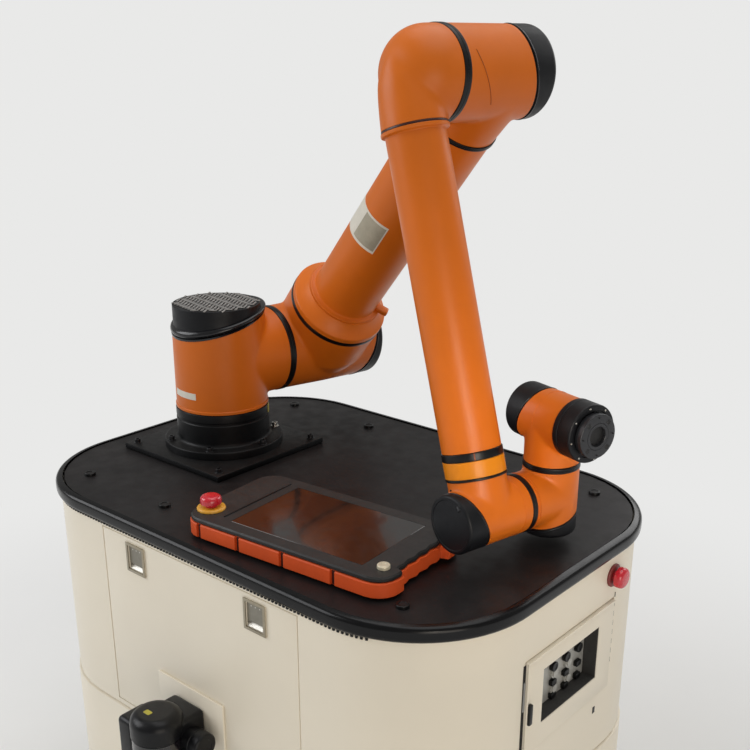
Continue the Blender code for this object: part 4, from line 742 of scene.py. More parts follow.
class ROBOT_OT_caps(RobotOperator, bpy.types.Operator):
    """Moulds the black end caps with their grooves and beads, and the grid on top of the shoulder"""
    bl_idname = "robot.caps"
    bl_label = "End caps"

    def groove(self, name, at, body, radius, seam, height, tilt):
        """The dark set-back strip between a casting and its cap."""
        strip = ring_lathe([(radius - 0.005, seam), (radius - 0.0009, seam), (radius - 0.0009, seam + height),
                            (radius - 0.005, seam + height)])
        add_piece(name + "_cap_groove", strip, "nitrile_seal", body, at=at @ sheared_about(seam, tilt))

    def cap(self, context, name, at, body, node):
        """One cap over its groove: a bevelled bead, a skirt, a round edge and a step in its face."""
        sizes = context.scene.robot_arm
        radius, seam, end, edge, tilt = HOUSING_SIZES[name]
        small = 0.62 if radius < 0.05 else 1.0
        groove, bead = sizes.groove * small, sizes.bead * small
        self.groove(name, at, body, radius, seam, groove, tilt)
        outer = radius + 0.2 * MM
        low = seam - radius - 4 * MM
        profile = [(outer * 0.84, end - 0.7 * MM), (outer * 0.855, end)]
        profile += arc(outer - edge, end - edge, edge, 90, 0, 8) + [(outer, low)]
        shape = lathe(profile)
        cut(shape, (0, 0, seam + groove), -tilted(tilt))
        add_piece(name + "_cap_moulding", shape, "moulded_nylon", body, (node,), at=at)
        ridge = ring_lathe(arc(outer - bead * 0.60, seam + groove + bead, bead, -180, 150, 11))
        add_piece(name + "_cap_bead", ridge, "polished_nylon", body, at=at @ sheared_about(seam, tilt))

    def shoulder_cap(self):
        """The shoulder's cap: a narrower barrel that rises from a broad glossy bead."""
        radius, seam, end, _, tilt = HOUSING_SIZES["shoulder"]
        outer, shift = radius - 5.0 * MM, move_by(0, -2.5 * MM, 0)
        profile = [(outer - 3 * MM, end - 0.5 * MM), (outer - 2.6 * MM, end)]
        profile += arc(outer - 1.2 * MM, end - 1.2 * MM, 1.2 * MM, 90, 0, 4)
        profile += [(outer, seam - radius)]
        shape = moved(lathe(profile), shift)
        cut(shape, (0, 0, seam + 0.2 * MM), -tilted(tilt))
        add_piece("shoulder_cap_moulding", shape, "moulded_nylon", "shoulder", ("shoulder_cap",), at=AT_BASE)
        outline = [(radius - 9 * MM, seam + 0.1 * MM), (radius + 0.7 * MM, seam + 0.1 * MM),
                   (radius + 1.0 * MM, seam + 3.4 * MM)]
        outline += [(radius - 3.2 * MM + 5.6 * MM * math.cos(math.radians(t)),
                     seam + 10.6 * MM + 6.6 * MM * math.sin(math.radians(t))) for t in range(-70, 91, 16)]
        outline += [(radius - 9 * MM, seam + 17.2 * MM)]
        bead = ring_lathe(outline)
        for vert in bead.verts:
            vert.co.z = seam + (vert.co.z - seam) * (0.76 - 0.24 * vert.co.y / radius)
        add_piece("shoulder_cap_bead", bead, "polished_nylon", "shoulder",
                  at=AT_BASE @ sheared_about(seam, tilt))

    def execute(self, context):
        self.shoulder_cap()
        self.cap(context, "upper_arm", AT_SHOULDER, "upper_arm", "upper_arm_cap")
        self.cap(context, "elbow", AT_ELBOW, "upper_arm", "elbow_cap")
        self.cap(context, "forearm_end", AT_END, "forearm", "forearm_end_cap")
        self.cap(context, "wrist_1", AT_WRIST_1, "wrist_1", "wrist_1_cap")
        self.cap(context, "wrist_2", AT_WRIST_2, "wrist_2", "wrist_2_cap")
        self.grid()
        end = HOUSING_SIZES["forearm_end"][2]
        frame_at = move_by(0.0238, 0.0238, end - 0.0008) @ turn_by(20)
        rim = rounded_box(0.0088, 0.0088, 0.0016, edge=0.0005, segments=2)
        add_piece("end_cap_boss", rim, "polished_nylon", "forearm", at=AT_END @ frame_at)
        return {"FINISHED"}

    def grid(self):
        """Short slanted ribs in rows that lean left and right by turns, standing on the shoulder's cap."""
        radius, _, end, _, _ = HOUSING_SIZES["shoulder"]
        pitch, row = 9.6 * MM, 12.0 * MM
        reach = radius - 7.6 * MM
        bars = []
        rows = int(reach / row) + 1
        columns = int(reach / pitch) + 1
        for j in range(-rows, rows + 1):
            lean = 46 if j % 2 else -46
            for i in range(-columns, columns + 1):
                x, y = (i + 0.5 * (j % 2)) * pitch, j * row
                if math.hypot(x, y) > reach - 1 * MM:
                    continue
                bar = rounded_box(13.6 * MM, 3.4 * MM, 2.4 * MM, edge=0.8 * MM, segments=1)
                moved(bar, turn_by(lean))
                bars.append(moved(bar, move_by(x, y - 2.5 * MM, end + 0.4 * MM)))
        add_piece("shoulder_cap_grid", join(bars), "rubbed_nylon", "shoulder", at=AT_BASE)


def sheared_about(height, angle):
    """The slanted seam's shear, turning about the seam's own height."""
    return move_by(0, 0, height) @ sheared(angle) @ move_by(0, 0, -height)


class ROBOT_OT_rings(RobotOperator, bpy.types.Operator):
    """Turns the seal rings between the housings"""
    bl_idname = "robot.rings"
    bl_label = "Seal rings"

    def ring(self, name, at, body, radius, centre, width):
        outer = radius + 0.9 * MM
        edge = 1.1 * MM
        groove = 0.5 * MM
        profile = arc(outer - edge, centre + width / 2 - edge, edge, 90, 0, 4)
        profile += [(outer, centre + groove), (outer - groove, centre), (outer, centre - groove)]
        profile += arc(outer - edge, centre - width / 2 + edge, edge, 0, -90, 4)
        add_piece(name + "_seal", lathe(profile), "nitrile_seal", body, (name,), at=at)

    def execute(self, context):
        self.ring("ring_j2", AT_SHOULDER, "shoulder", J2_RADIUS, RING_CENTRE, RING_WIDTH)
        self.ring("ring_j3", AT_ELBOW, "upper_arm", HOUSING_SIZES["elbow"][0], RING_CENTRE, RING_WIDTH)
        self.ring("ring_elbow_neck", AT_UPPER, "upper_arm", NECK_RING_RADIUS,
                  UPPER_LENGTH - ELBOW_NECK - NECK_RING / 2, NECK_RING)
        self.ring("ring_j4", AT_END, "forearm", HOUSING_SIZES["forearm_end"][0], -SMALL_RING_CENTRE,
                  SMALL_RING_WIDTH)
        self.ring("ring_j5", AT_WRIST_1, "wrist_1", HOUSING_SIZES["wrist_1"][0], -UPRIGHT_RING_CENTRE,
                  UPRIGHT_RING_WIDTH)
        return {"FINISHED"}


# Fasteners

def cap_screw(size, washer=False):
    """A socket screw's head: a rounded rim round a recessed key hole, on a washer where it has one."""
    head, height = size * 0.85, size
    shape = lathe([(size * 0.42, height * 0.45), (size * 0.46, height)]
                  + arc(head - size * 0.12, height - size * 0.12, size * 0.12, 90, 0, 3) + [(head, 0)], 18)
    if washer:
        plate = lathe([(size * 1.15, size * 0.18), (size * 1.2, size * 0.12), (size * 1.2, 0)], 24)
        moved(shape, move_by(0, 0, size * 0.17))
        shape = join([plate, shape])
    return shape


def on_circle(radius, count, height, turn=0.0):
    """Places round a circle, each turned to face outward."""
    return [Matrix.Rotation(math.radians(turn) + 2 * math.pi * i / count, 4, "Z") @ move_by(radius, 0, height)
            for i in range(count)]


def many(shape_maker, places):
    """One shape at each of several places, as one mesh."""
    return join([moved(shape_maker(), place) for place in places])


class ROBOT_OT_base(RobotOperator, bpy.types.Operator):
    """Turns the cast foot with its bolts, on its mounting plate"""
    bl_idname = "robot.base"
    bl_label = "Arm foot"

    def execute(self, context):
        low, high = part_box("arm_base")
        foot = low.z - DECK_TOP
        top = high.z - DECK_TOP
        flange = foot + 0.014
        rim = 0.104
        profile = [(0.0795, top)] + arc(0.0795, top - 0.002, 0.002, 90, 0, 4)
        profile += [(0.0815, top - 0.014), (0.0802, top - 0.0155), (0.0802, top - 0.019),
                    (0.0815, top - 0.0205)]
        profile += [(0.0815, flange + 0.008)] + arc(0.0875, flange + 0.006, 0.006, 180, 270, 5)
        profile += arc(rim - 0.0025, flange - 0.0025, 0.0025, 90, 0, 4) + [(rim, foot)]
        add_piece("foot_casting", lathe(profile), "painted_casting", "stand", ("arm_base",), at=AT_BASE)
        places = on_circle(0.0948, 6, flange - 0.0002, 15)
        bolts = many(lambda: cap_screw(0.0062, washer=True), places[:1] + places[2:])
        add_piece("foot_bolts", bolts, "black_oxide", "stand", at=AT_BASE)
        bright = many(lambda: cap_screw(0.0062, washer=True), places[1:2])
        add_piece("foot_bolt_bright", bright, "zinc_plate", "stand", at=AT_BASE)
        keep_node("mounting_plate", "painted_casting")
        low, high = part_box("mounting_plate")
        inset = 0.016
        places = [move_by(x, y, high.z - 0.0002)
                  for x in (low.x + inset, high.x - inset) for y in (low.y + inset, high.y - inset)]
        add_piece("plate_screws", many(lambda: cap_screw(0.006, washer=True), places), "black_oxide", "stand")
        return {"FINISHED"}


class ROBOT_OT_tool_end(RobotOperator, bpy.types.Operator):
    """Turns the last joint's black housing and the tool flange with its holes and screws"""
    bl_idname = "robot.tool_end"
    bl_label = "Tool end"

    def execute(self, context):
        start, end, radius = 0.0423, 0.0760, 0.0415
        profile = [(0.0335, end - 0.003), (0.0340, end)]
        profile += arc(radius - 0.0025, end - 0.0025, 0.0025, 90, 0, 5)
        profile += [(radius, start + 0.012), (radius - 0.0007, start + 0.011),
                    (radius - 0.0007, start + 0.009), (radius, start + 0.008), (radius, start + 0.0008),
                    (radius - 0.0008, start)]
        add_piece("wrist_front_moulding", lathe(profile), "moulded_nylon", "wrist_2", ("wrist_2_front",),
                  at=AT_TOOL)
        screws = many(lambda: cap_screw(0.0017), on_circle(0.0372, 8, end - 0.0006, 10))
        add_piece("wrist_front_screws", screws, "zinc_plate", "wrist_2", at=AT_TOOL)
        face = FLANGE_REACH
        back = end + 0.0004
        outer, bore = 0.0315, 0.0140
        rim = [(bore - 0.0002, face - 0.006), (bore, face - 0.0006), (bore + 0.0006, face)]
        rim += [(0.0185, face), (0.0188, face - 0.0006), (0.0192, face)]
        rim += arc(outer - 0.0012, face - 0.0012, 0.0012, 90, 0, 4)
        rim += [(outer, back + 0.0050), (outer - 0.0008, back + 0.0044), (outer - 0.0008, back)]
        add_piece("tool_flange_turned", lathe(rim), "hard_anodised", "flange", ("tool_flange",), at=AT_TOOL)
        well = lathe([(bore - 0.0008, face - 0.0057), (bore - 0.0008, face - 0.0070)], 48)
        add_piece("tool_flange_bore", well, "hole_shade", "flange", at=AT_TOOL)
        hole = many(lambda: lathe([(0.0028, 0.0), (0.0032, 0.0003), (0.0036, 0.0), (0.0036, -0.002)], 24),
                    on_circle(0.025, 4, face + 0.0001, 45))
        add_piece("tool_flange_holes", hole, "hole_shade", "flange", at=AT_TOOL)
        heads = many(lambda: cap_screw(0.0014), on_circle(0.0268, 4, face - 0.0002, 0))
        add_piece("tool_flange_screws", heads, "black_oxide", "flange", at=AT_TOOL)
        return {"FINISHED"}


# Cart

CART_TOP = DECK_TOP + 0.0015
WALL_X = 0.4520
WALL_Y = 0.310
TRIM_CORNER = 0.189
LATCH_DROP = 0.065
SCANNER_DROP = 0.252
LOCK_DROP = 0.278
STOP_EDGE = 50


class ROBOT_OT_deck(RobotOperator, bpy.types.Operator):
    """Finishes the deck: laminate, edge trim with its toothed lip, and black plugs"""
    bl_idname = "robot.deck"
    bl_label = "Deck"

    def execute(self, context):
        keep_node("deck_plate", "textured_laminate")
        low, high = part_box("edge_trim")
        length, width, height = high - low
        corner = TRIM_CORNER
        outer = rounded_box(length, width, height, edge=0.008, segments=6, corner=corner, corner_segments=24)
        open_frame(outer, 2, 0.0058)
        add_piece("edge_trim_extrusion", outer, "extruded_pvc", "stand", ("edge_trim",),
                  at=Matrix.Translation((low + high) / 2), sharp=45)
        self.lip(context, length, width, corner, low.z)
        self.plugs(length, width)
        return {"FINISHED"}

    def lip(self, context, length, width, corner, under):
        """A row of small black teeth under the trim, over the pale wall."""
        inset = 0.0066
        pitch = context.scene.robot_cart.tooth
        straight_x, straight_y, bend = length - 2 * corner, width - 2 * corner, corner - inset
        around = 2 * straight_x + 2 * straight_y + 2 * math.pi * bend
        teeth = []
        count = int(around / pitch)
        for i in range(count):
            point, angle = on_rounded(i * around / count, straight_x, straight_y, bend)
            if abs(point[0]) > straight_x / 2 + 0.06:
                continue
            tooth = rounded_box(pitch * 0.5, 0.0024, 0.0056, edge=0.0003, segments=1)
            teeth.append(moved(tooth, move_by(point[0], point[1], under - 0.0012)
                               @ Matrix.Rotation(angle, 4, "Z")))
        add_piece("trim_teeth", join(teeth), "extruded_pvc", "stand")

    def plugs(self, length, width):
        """The moulded plugs that close the deck's spare holes."""
        along, across = length / 2 - 0.120, width / 2 - 0.076
        places = [move_by(end * along, side * across, DECK_TOP) for end in (-1, -0.42, 1)
                  for side in (-1, 1)]
        plug = lambda: lathe([(0.0052, 0.0036), (0.0058, 0.0048)] + arc(0.0080, 0.0036, 0.0012, 90, 0, 4)
                             + [(0.0094, -0.001)], SMALL)
        add_piece("deck_plug_caps", many(plug, places), "black_thermoset", "stand")


def on_rounded(s, straight_x, straight_y, bend):
    """Point and heading at a length along a rounded rectangle about the middle."""
    quarter = math.pi / 2 * bend
    corners = [(x * straight_x / 2, y * straight_y / 2) for x, y in ((-1, -1), (1, -1), (1, 1), (-1, 1))]
    for side, run in enumerate((straight_x, straight_y) * 2):
        heading = side * math.pi / 2
        if s <= run:
            x, y = corners[side]
            return (x + bend * math.sin(heading) + s * math.cos(heading),
                    y - bend * math.cos(heading) + s * math.sin(heading)), heading
        s -= run
        if s <= quarter:
            x, y = corners[(side + 1) % 4]
            angle = heading - math.pi / 2 + s / bend
            return (x + bend * math.cos(angle), y + bend * math.sin(angle)), angle + math.pi / 2
        s -= quarter
    return (0, 0), 0


class ROBOT_OT_cabinet(RobotOperator, bpy.types.Operator):
    """Coats the cabinet, its doors and chassis, and finishes the feet"""
    bl_idname = "robot.cabinet"
    bl_label = "Cabinet"

    def execute(self, context):
        for name in ("cabinet_shell", "chassis_skirt", "door_left", "door_right"):
            keep_node(name, "powder_coat")
        for name in ("foot_front_left", "foot_front_right", "foot_rear_left", "foot_rear_right"):
            keep_node(name, "black_oxide")
        return {"FINISHED"}


class ROBOT_OT_latches(RobotOperator, bpy.types.Operator):
    """Presses the latch cups' steel frames, paddles and finger slopes"""
    bl_idname = "robot.latches"
    bl_label = "Door latches"

    def execute(self, context):
        for name in ("left_a", "left_b", "right_a", "right_b"):
            node = "latch_paddle_" + name
            low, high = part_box(node)
            side = -1 if low.y < 0 else 1
            x = (low.x + high.x) / 2
            wall = WALL_Y * side
            z = CART_TOP - LATCH_DROP
            outer, inner = (0.0440, 0.0490), (0.0350, 0.0400)
            edge = 0.6 * MM
            bezel = rounded_box(outer[0], 0.0018, outer[1], edge=edge, segments=2)
            open_frame(bezel, 1, (outer[0] - inner[0]) / 2 - edge)
            turn = turn_by(0 if side < 0 else 180)
            add_piece("latch_bezel_" + name, bezel, "brushed_stainless", "stand",
                      at=move_by(x, wall + side * 0.0020, z) @ turn)
            keep_node(node, "bead_blasted_stainless")
            lining = rounded_box(inner[0] - 0.0004, 0.0160, inner[1] - 0.0004)
            front = [f for f in lining.faces if f.normal.y < -FACING]
            bmesh.ops.delete(lining, geom=front, context="FACES_ONLY")
            bmesh.ops.solidify(lining, geom=lining.faces[:], thickness=0.0005)
            add_piece("latch_lining_" + name, lining, "bead_blasted_stainless", "stand",
                      at=move_by(x, wall - side * 0.0088, z) @ turn)
            # Painted highlight: the finger slope at the cup's foot is pale steel where light from above falls.
            slope = rounded_box(inner[0] - 0.0014, 0.0105, 0.0008, edge=0.0002, segments=1)
            at = move_by(x, wall - side * 0.0034, z - inner[1] / 2 + 0.0046) @ turn
            add_piece("latch_slope_" + name, slope, "pale_stainless_painted_highlight", "stand",
                      at=at @ turn_by(42, "X"))
            # The stamped marks share the pale steel of the painted highlight.
            marks = many(lambda: moved(lathe([(0, 0.0007), (0.0010, 0.0006), (0.0015, 0)], 12),
                                       turn_by(90, "X")),
                         [move_by(step * 0.0085, 0, 0) for step in (-1, 0, 1)])
            at = move_by(x, (low.y if side < 0 else high.y) - side * 0.0005, high.z - 0.0052) @ turn
            add_piece("latch_marks_" + name, marks, "pale_stainless_painted_highlight", frame_body(node), at=at)
        return {"FINISHED"}


class ROBOT_OT_connector_panel(RobotOperator, bpy.types.Operator):
    """Finishes the end panel: folded edges, an open side strip and a slotted hinge as dark sheets of painted
    shade, and capped sockets
    """
    bl_idname = "robot.connector_panel"
    bl_label = "Connector panel"

    def execute(self, context):
        keep_node("connector_panel", "powder_coat")
        keep_node("connector_plate", "anodised_plate")
        keep_node("panel_pull", "black_thermoset")
        low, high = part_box("connector_panel")
        face, height = high.x, high.z - low.z
        middle = (low.z + high.z) / 2
        fold_top = rounded_box(0.0034, high.y - low.y, 0.0042, edge=0.0012, segments=3)
        moved(fold_top, move_by(face + 0.0006, (low.y + high.y) / 2, high.z - 0.0021))
        fold_side = rounded_box(0.0034, 0.0030, height, edge=0.0011, segments=3)
        moved(fold_side, move_by(face + 0.0006, low.y + 0.0015, middle))
        add_piece("panel_folds", join([fold_top, fold_side]), "powder_coat", "stand")
        # Painted shade: a charcoal sheet where the panel's open side leaves a gap.
        gap = rounded_box(0.0010, 0.0058, height - 0.004, edge=0.0003, segments=1)
        add_piece("panel_side_gap_shade", gap, "gap_shade_charcoal", "stand",
                  at=move_by(WALL_X + 0.0004, low.y - 0.0036, middle))
        pad = rounded_box(0.0020, 0.0034, 0.046, edge=0.0006, segments=2)
        add_piece("panel_side_pad", pad, "grey_pad", "stand",
                  at=move_by(WALL_X + 0.0014, low.y - 0.0038, middle + 0.024))
        # Painted shade: dark dashes where the hinge's slots are.
        pitch = context.scene.robot_cart.dash
        dash = lambda: rounded_box(0.0008, 0.0016, 0.0085, edge=0.0003, segments=1)
        places = [move_by(WALL_X + 0.0003, high.y + 0.0042, high.z + 0.006 - pitch * i) for i in range(8)]
        add_piece("hinge_slot_shade", many(dash, places), "gap_shade_charcoal", "stand")
        # Painted shade: a black sheet laid in the key slot's shaded recess.
        slot_shade = rounded_box(0.0010, 0.0062, 0.0112, edge=0.0004, segments=1)
        add_piece("key_slot_shade", slot_shade, "black_thermoset", "stand",
                  at=move_by(WALL_X + 0.0002, 0.084, CART_TOP - LOCK_DROP))
        self.shade_window_sides(face)
        self.sockets()
        return {"FINISHED"}

    def shade_window_sides(self, face):
        """Painted shade: dark grey sheets that line the window from the plate out to the panel's face."""
        low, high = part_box("connector_plate")
        back, width, height, wall = high.x - 0.0058, 0.1496, 0.0866, 0.0012
        depth = face - 0.0008 - back
        middle = ((back + depth / 2), 0.0005, (low.z + high.z) / 2)
        sides = []
        for end in (-1, 1):
            flat = rounded_box(depth, width, wall)
            sides.append(moved(flat, move_by(0, 0, end * (height - wall) / 2)))
            upright = rounded_box(depth, wall, height - 2 * wall)
            sides.append(moved(upright, move_by(0, end * (width - wall) / 2, 0)))
        add_piece("window_shade_lining", join(sides), "window_shade_grey", "stand", at=Matrix.Translation(middle))

    def sockets(self):
        """Three rows of dust caps: round ones on top, square ones below."""
        plate_low, plate_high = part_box("connector_plate")
        face = plate_high.x - 0.006
        pitch, first_y, middle_z = 0.034, -0.0150, (plate_low.z + plate_high.z) / 2 - 0.0145
        turn = turn_by(90, "Y")
        caps = []
        for row in (-1, 0, 1):
            for column in (-1, 0, 1):
                rise = row * (0.0265 if row > 0 else 0.0215)
                place = move_by(face, first_y + (column + 1) * pitch, middle_z + rise) @ turn
                if row == 1:
                    cap = lathe([(0.0040, 0.0058), (0.0044, 0.0064)] + arc(0.0068, 0.0056, 0.0009, 90, 0, 3)
                                + [(0.0077, 0.0002)], SMALL)
                else:
                    cap = rounded_box(0.0092, 0.0130, 0.0060, edge=0.0006, segments=2, corner=0.002,
                                      corner_segments=3)
                    moved(cap, move_by(0, 0, 0.0032))
                caps.append(moved(cap, place))
        add_piece("socket_caps", join(caps), "black_thermoset", "stand")


class ROBOT_OT_stops(RobotOperator, bpy.types.Operator):
    """Moulds the red stop buttons and their collars"""
    bl_idname = "robot.stops"
    bl_label = "Stop buttons"

    def execute(self, context):
        for name in ("stop_button_front", "stop_button_rear", "pendant_stop_button"):
            keep_node(name, "gloss_red_polycarbonate", STOP_EDGE)
        # The cart's stop collars are red, painted dark red-brown as their shade.
        for name in ("stop_collar_front", "stop_collar_rear"):
            keep_node(name, "red_abs_painted_shade", STOP_EDGE)
        keep_node("pendant_stop_collar", "yellow_abs", STOP_EDGE)
        return {"FINISHED"}


class ROBOT_OT_scanners(RobotOperator, bpy.types.Operator):
    """Moulds the side scanners: domed barrel, window, cable box and knob, on their brackets"""
    bl_idname = "robot.scanners"
    bl_label = "Side scanners"

    def execute(self, context):
        radius, along, out = 0.0400, -0.0200, -0.0686
        for side, name in ((-1, "left"), (1, "right")):
            at = move_by(0, side * WALL_Y, CART_TOP - SCANNER_DROP) @ turn_by(0 if side < 0 else 180)
            centre = move_by(along, out, 0)
            barrel = lathe(arc(radius - 0.017, -0.017, 0.017, 90, 0, 10)
                           + [(radius, -0.0365), (radius - 0.0016, -0.0380), (radius - 0.0016, -0.0580),
                              (radius, -0.0595)] + arc(radius - 0.003, -0.109, 0.003, 0, -90, 4))
            back = rounded_box(0.070, 0.058, 0.072, edge=0.007, segments=4)
            moved(back, move_by(along, -0.0336, -0.051))
            box = rounded_box(0.036, 0.052, 0.072, edge=0.008, segments=5)
            moved(box, move_by(along - 0.055, -0.0636, -0.066))
            knob = lathe([(0.0118, 0.0672), (0.0124, 0.0680)] + arc(0.0170, 0.0640, 0.0040, 90, 0, 6)
                         + [(0.0210, 0.0520), (0.0202, 0.0512), (0.0202, 0.0496), (0.0210, 0.0488),
                            (0.0210, 0.0200)], 48)
            moved(knob, move_by(along, -0.0336, -0.052) @ turn_by(90, "Y"))
            add_piece("scanner_housing_" + name, join([moved(barrel, centre), back, box, knob]),
                      "scanner_nylon", "stand", ("scanner_" + name,), at=at)
            glass = ring_lathe([(radius - 0.004, -0.0385), (radius - 0.0011, -0.0388),
                                (radius - 0.0011, -0.0572), (radius - 0.004, -0.0575)])
            add_piece("scanner_glass_" + name, glass, "infrared_window", "stand", at=at @ centre)
            mark = rounded_box(0.013, 0.009, 0.0007, edge=0.0003, segments=1, corner=0.002, corner_segments=3)
            add_piece("scanner_mark_" + name, mark, "tag_polyester", "stand",
                      at=at @ centre @ move_by(-0.006, -0.010, 0.0001))
            keep_node("scanner_bracket_" + name, "powder_coat")
        return {"FINISHED"}


class ROBOT_OT_pendant(RobotOperator, bpy.types.Operator):
    """Finishes the teach pendant: case, bumper with its slots, glass, strip and key switch"""
    bl_idname = "robot.pendant"
    bl_label = "Teach pendant"

    def execute(self, context):
        low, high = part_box("pendant_bumper")
        middle = (low + high) / 2
        at = move_by(middle.x, middle.y, DECK_TOP + FIT) @ turn_by(5)
        keep_node("pendant_case", "dark_abs")
        keep_node("pendant_bumper", "moulded_tpe")
        length, width, top = 0.349, 0.182, 0.034
        sheet = rounded_box(0.2352, 0.1512, 0.0011, edge=0.0003, segments=1, corner=0.0015, corner_segments=3)
        add_piece("pendant_screen", sheet, "screen_glass", "stand",
                  at=at @ move_by(0.012, 0, top - 0.0006))
        strip = rounded_box(0.0026, 0.150, 0.0012, edge=0.0004, segments=2)
        add_piece("pendant_strip", strip, "nitrile_seal", "stand",
                  at=at @ move_by(-0.1235, 0.004, top + 0.0004))
        slots = []
        for share in (-0.85, -0.42, 0.05, 0.56):
            for side in (-1, 1):
                slot = rounded_box(0.0050, 0.0016, 0.0205, edge=0.0004, segments=1)
                slots.append(moved(slot, move_by(share * length / 2, side * (width / 2 + 0.0052), 0.0150)))
        add_piece("bumper_slots", join(slots), "shaded_tpe", "stand", at=at)
        key_at = move_by(0.90 * length / 2, -0.72 * width / 2, top)
        key = lathe([(0.0030, 0.0052), (0.0034, 0.0058)] + arc(0.0070, 0.0038, 0.0020, 90, 0, 6)
                    + [(0.0090, 0.0020), (0.0090, 0.0003)], 40)
        add_piece("pendant_key_barrel", key, "satin_nickel", "stand", ("pendant_key_switch",), at=at @ key_at)
        return {"FINISHED"}


# Studio

CAMERA_AT = Vector((1.1022, -1.1746, 1.3981))
CAMERA_YAW = math.radians(130.925)
CAMERA_PITCH = math.radians(20.534)
CAMERA_LENS = 50.97
CAMERA_SHIFT = (-0.0006, 0.0870)


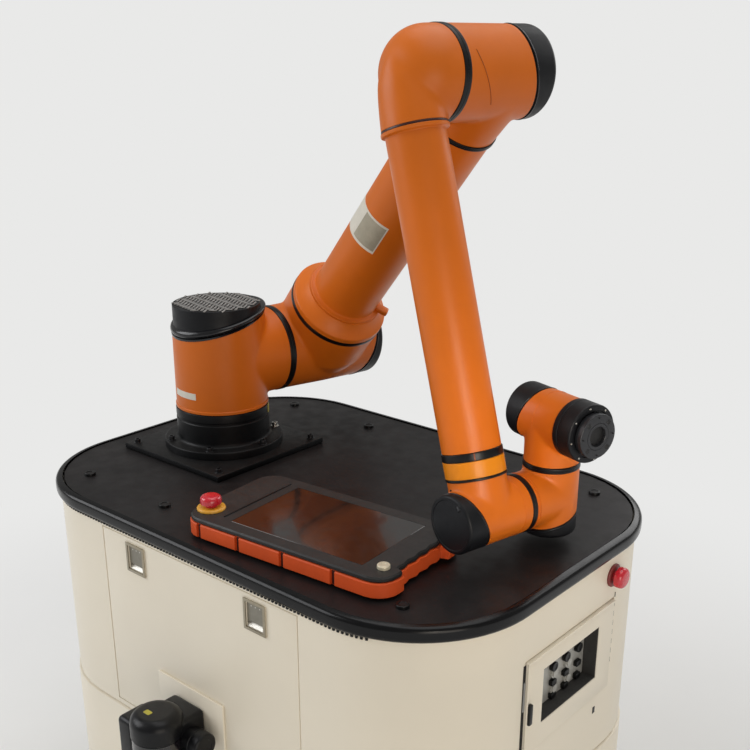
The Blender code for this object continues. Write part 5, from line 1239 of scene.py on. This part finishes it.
class ROBOT_OT_stage(RobotOperator, bpy.types.Operator):
    """Lays the pale floor, hangs the soft lights and sets the camera"""
    bl_idname = "robot.stage"
    bl_label = "Studio"

    def lamp(self, name, at, toward, size, power, colour=(1, 1, 1), spread=180):
        light = bpy.data.lights.new(name, "AREA")
        light.shape = "RECTANGLE"
        light.size, light.size_y = size
        light.energy = power
        light.spread = math.radians(spread)
        light.color = colour
        lamp = bpy.data.objects.new(name, light)
        lamp.location = at
        lamp.visible_camera = False
        lamp.rotation_euler = (Vector(toward) - Vector(at)).to_track_quat("-Z", "Y").to_euler()
        bpy.context.scene.collection.objects.link(lamp)

    def seen(self, tree):
        """One where a ray comes from the camera, a mirror or glass."""
        path = add_node(tree, "ShaderNodeLightPath")
        straight = add_node(tree, "ShaderNodeMath", {"operation": "MAXIMUM"},
                            {0: path.outputs["Is Camera Ray"], 1: path.outputs["Is Transmission Ray"]})
        return path, straight.outputs[0]

    def paper(self, colour):
        """Matt studio paper that fades into the backdrop's own colour away from the object."""
        made = surface("studio_paper", colour, 0.8, 8.0, 0.02, mottle=0.01, mottle_mm=400)
        tree = made.node_tree
        path, straight = self.seen(tree)
        shown = add_node(tree, "ShaderNodeMath", {"operation": "MAXIMUM"},
                         {0: straight, 1: path.outputs["Is Glossy Ray"]}).outputs[0]
        place = add_node(tree, "ShaderNodeTexCoord").outputs["Object"]
        away = add_node(tree, "ShaderNodeVectorMath", {"operation": "LENGTH"}, {0: place}).outputs["Value"]
        share = add_node(tree, "ShaderNodeMapRange", {"interpolation_type": "SMOOTHSTEP", "From Min": 0.75,
                                                      "From Max": 1.9}, {"Value": away}).outputs[0]
        fade = add_node(tree, "ShaderNodeMath", {"operation": "MULTIPLY"}, {0: share, 1: shown}).outputs[0]
        glow = add_node(tree, "ShaderNodeEmission", {"Color": (*colour, 1), "Strength": 1.0}).outputs[0]
        both = add_node(tree, "ShaderNodeMixShader", {},
                        {0: fade, 1: tree.nodes["Principled BSDF"].outputs[0], 2: glow}).outputs[0]
        tree.links.new(both, tree.nodes["Material Output"].inputs["Surface"])
        return made

    def execute(self, context):
        scene = context.scene
        colour = scene.robot_finish.stage
        floor_shape = bmesh.new()
        bmesh.ops.create_grid(floor_shape, x_segments=2, y_segments=2, size=14.0)
        mesh = bpy.data.meshes.new("studio_floor")
        floor_shape.to_mesh(mesh)
        floor_shape.free()
        floor = bpy.data.objects.new("studio_floor", mesh)
        scene.collection.objects.link(floor)
        mesh.materials.append(self.paper(colour))

        world = scene.world or bpy.data.worlds.new("studio")
        scene.world = world
        world.use_nodes = True
        tree = world.node_tree
        tree.nodes.clear()
        _, straight = self.seen(tree)
        backdrop = add_node(tree, "ShaderNodeBackground", {"Color": (*colour, 1), "Strength": 1.0})
        ambient = add_node(tree, "ShaderNodeBackground", {"Color": (*linear("#F2F1EE"), 1), "Strength": 0.34})
        both = add_node(tree, "ShaderNodeMixShader", {},
                        {0: straight, 1: ambient.outputs[0], 2: backdrop.outputs[0]})
        add_node(tree, "ShaderNodeOutputWorld", {}, {"Surface": both.outputs[0]})

        middle = (0, 0, 0.95)
        self.lamp("window_light", (-2.4, -2.0, 2.4), middle, (2.4, 2.0), 58, linear("#F6F7FA"))
        self.lamp("ceiling_light", (0.2, 0.4, 3.4), middle, (3.2, 2.2), 36)
        self.lamp("fill_light", (2.4, -1.4, 0.9), (0.3, 0, 0.6), (1.4, 1.2), 14, linear("#FFF4E6"))
        self.lamp("wrist_light", (1.00, -0.60, 1.02), (0.37, 0.0, 0.92), (0.3, 0.3), 0.22, linear("#FFF4E6"),
                  34)
        self.lamp("rear_light", (0.4, 2.8, 2.3), middle, (2.4, 1.4), 26)

        lens = bpy.data.cameras.new("camera")
        lens.lens = CAMERA_LENS
        lens.sensor_width = 36.0
        lens.shift_x, lens.shift_y = CAMERA_SHIFT
        camera = bpy.data.objects.new("camera", lens)
        camera.location = CAMERA_AT
        camera.rotation_euler = (math.pi / 2 - CAMERA_PITCH, 0, CAMERA_YAW - math.pi / 2)
        scene.collection.objects.link(camera)
        scene.camera = camera
        scene.view_settings.view_transform = "Standard"
        return {"FINISHED"}


OPERATORS = (ROBOT_OT_castings, ROBOT_OT_parting_lines, ROBOT_OT_tubes, ROBOT_OT_bare_labels, ROBOT_OT_caps,
             ROBOT_OT_rings, ROBOT_OT_base, ROBOT_OT_tool_end, ROBOT_OT_deck, ROBOT_OT_cabinet,
             ROBOT_OT_latches,
             ROBOT_OT_connector_panel, ROBOT_OT_stops, ROBOT_OT_scanners, ROBOT_OT_pendant, ROBOT_OT_stage)
SETTINGS = (ArmSettings, CartSettings, FinishSettings)


class ROBOT_PT_panel(bpy.types.Panel):
    """Lists the settings and the steps"""
    bl_idname = "ROBOT_PT_panel"
    bl_label = "Robot arm"
    bl_space_type = "VIEW_3D"
    bl_region_type = "UI"
    bl_category = "Robot arm"

    def draw(self, context):
        layout = self.layout
        for group in (context.scene.robot_arm, context.scene.robot_cart, context.scene.robot_finish):
            box = layout.box()
            for name in group.__annotations__:
                box.prop(group, name)
        for operator in OPERATORS:
            layout.operator(operator.bl_idname)


def register():
    for made in SETTINGS + OPERATORS + (ROBOT_PT_panel,):
        bpy.utils.register_class(made)
    bpy.types.Scene.robot_arm = bpy.props.PointerProperty(type=ArmSettings)
    bpy.types.Scene.robot_cart = bpy.props.PointerProperty(type=CartSettings)
    bpy.types.Scene.robot_finish = bpy.props.PointerProperty(type=FinishSettings)


def unregister():
    del bpy.types.Scene.robot_arm, bpy.types.Scene.robot_cart, bpy.types.Scene.robot_finish
    for made in reversed(SETTINGS + OPERATORS + (ROBOT_PT_panel,)):
        bpy.utils.unregister_class(made)


def main():
    """Runs each step in order."""
    register()
    for operator in OPERATORS:
        module, name = operator.bl_idname.split(".")
        getattr(getattr(bpy.ops, module), name)()


if __name__ == "__main__":
    main()
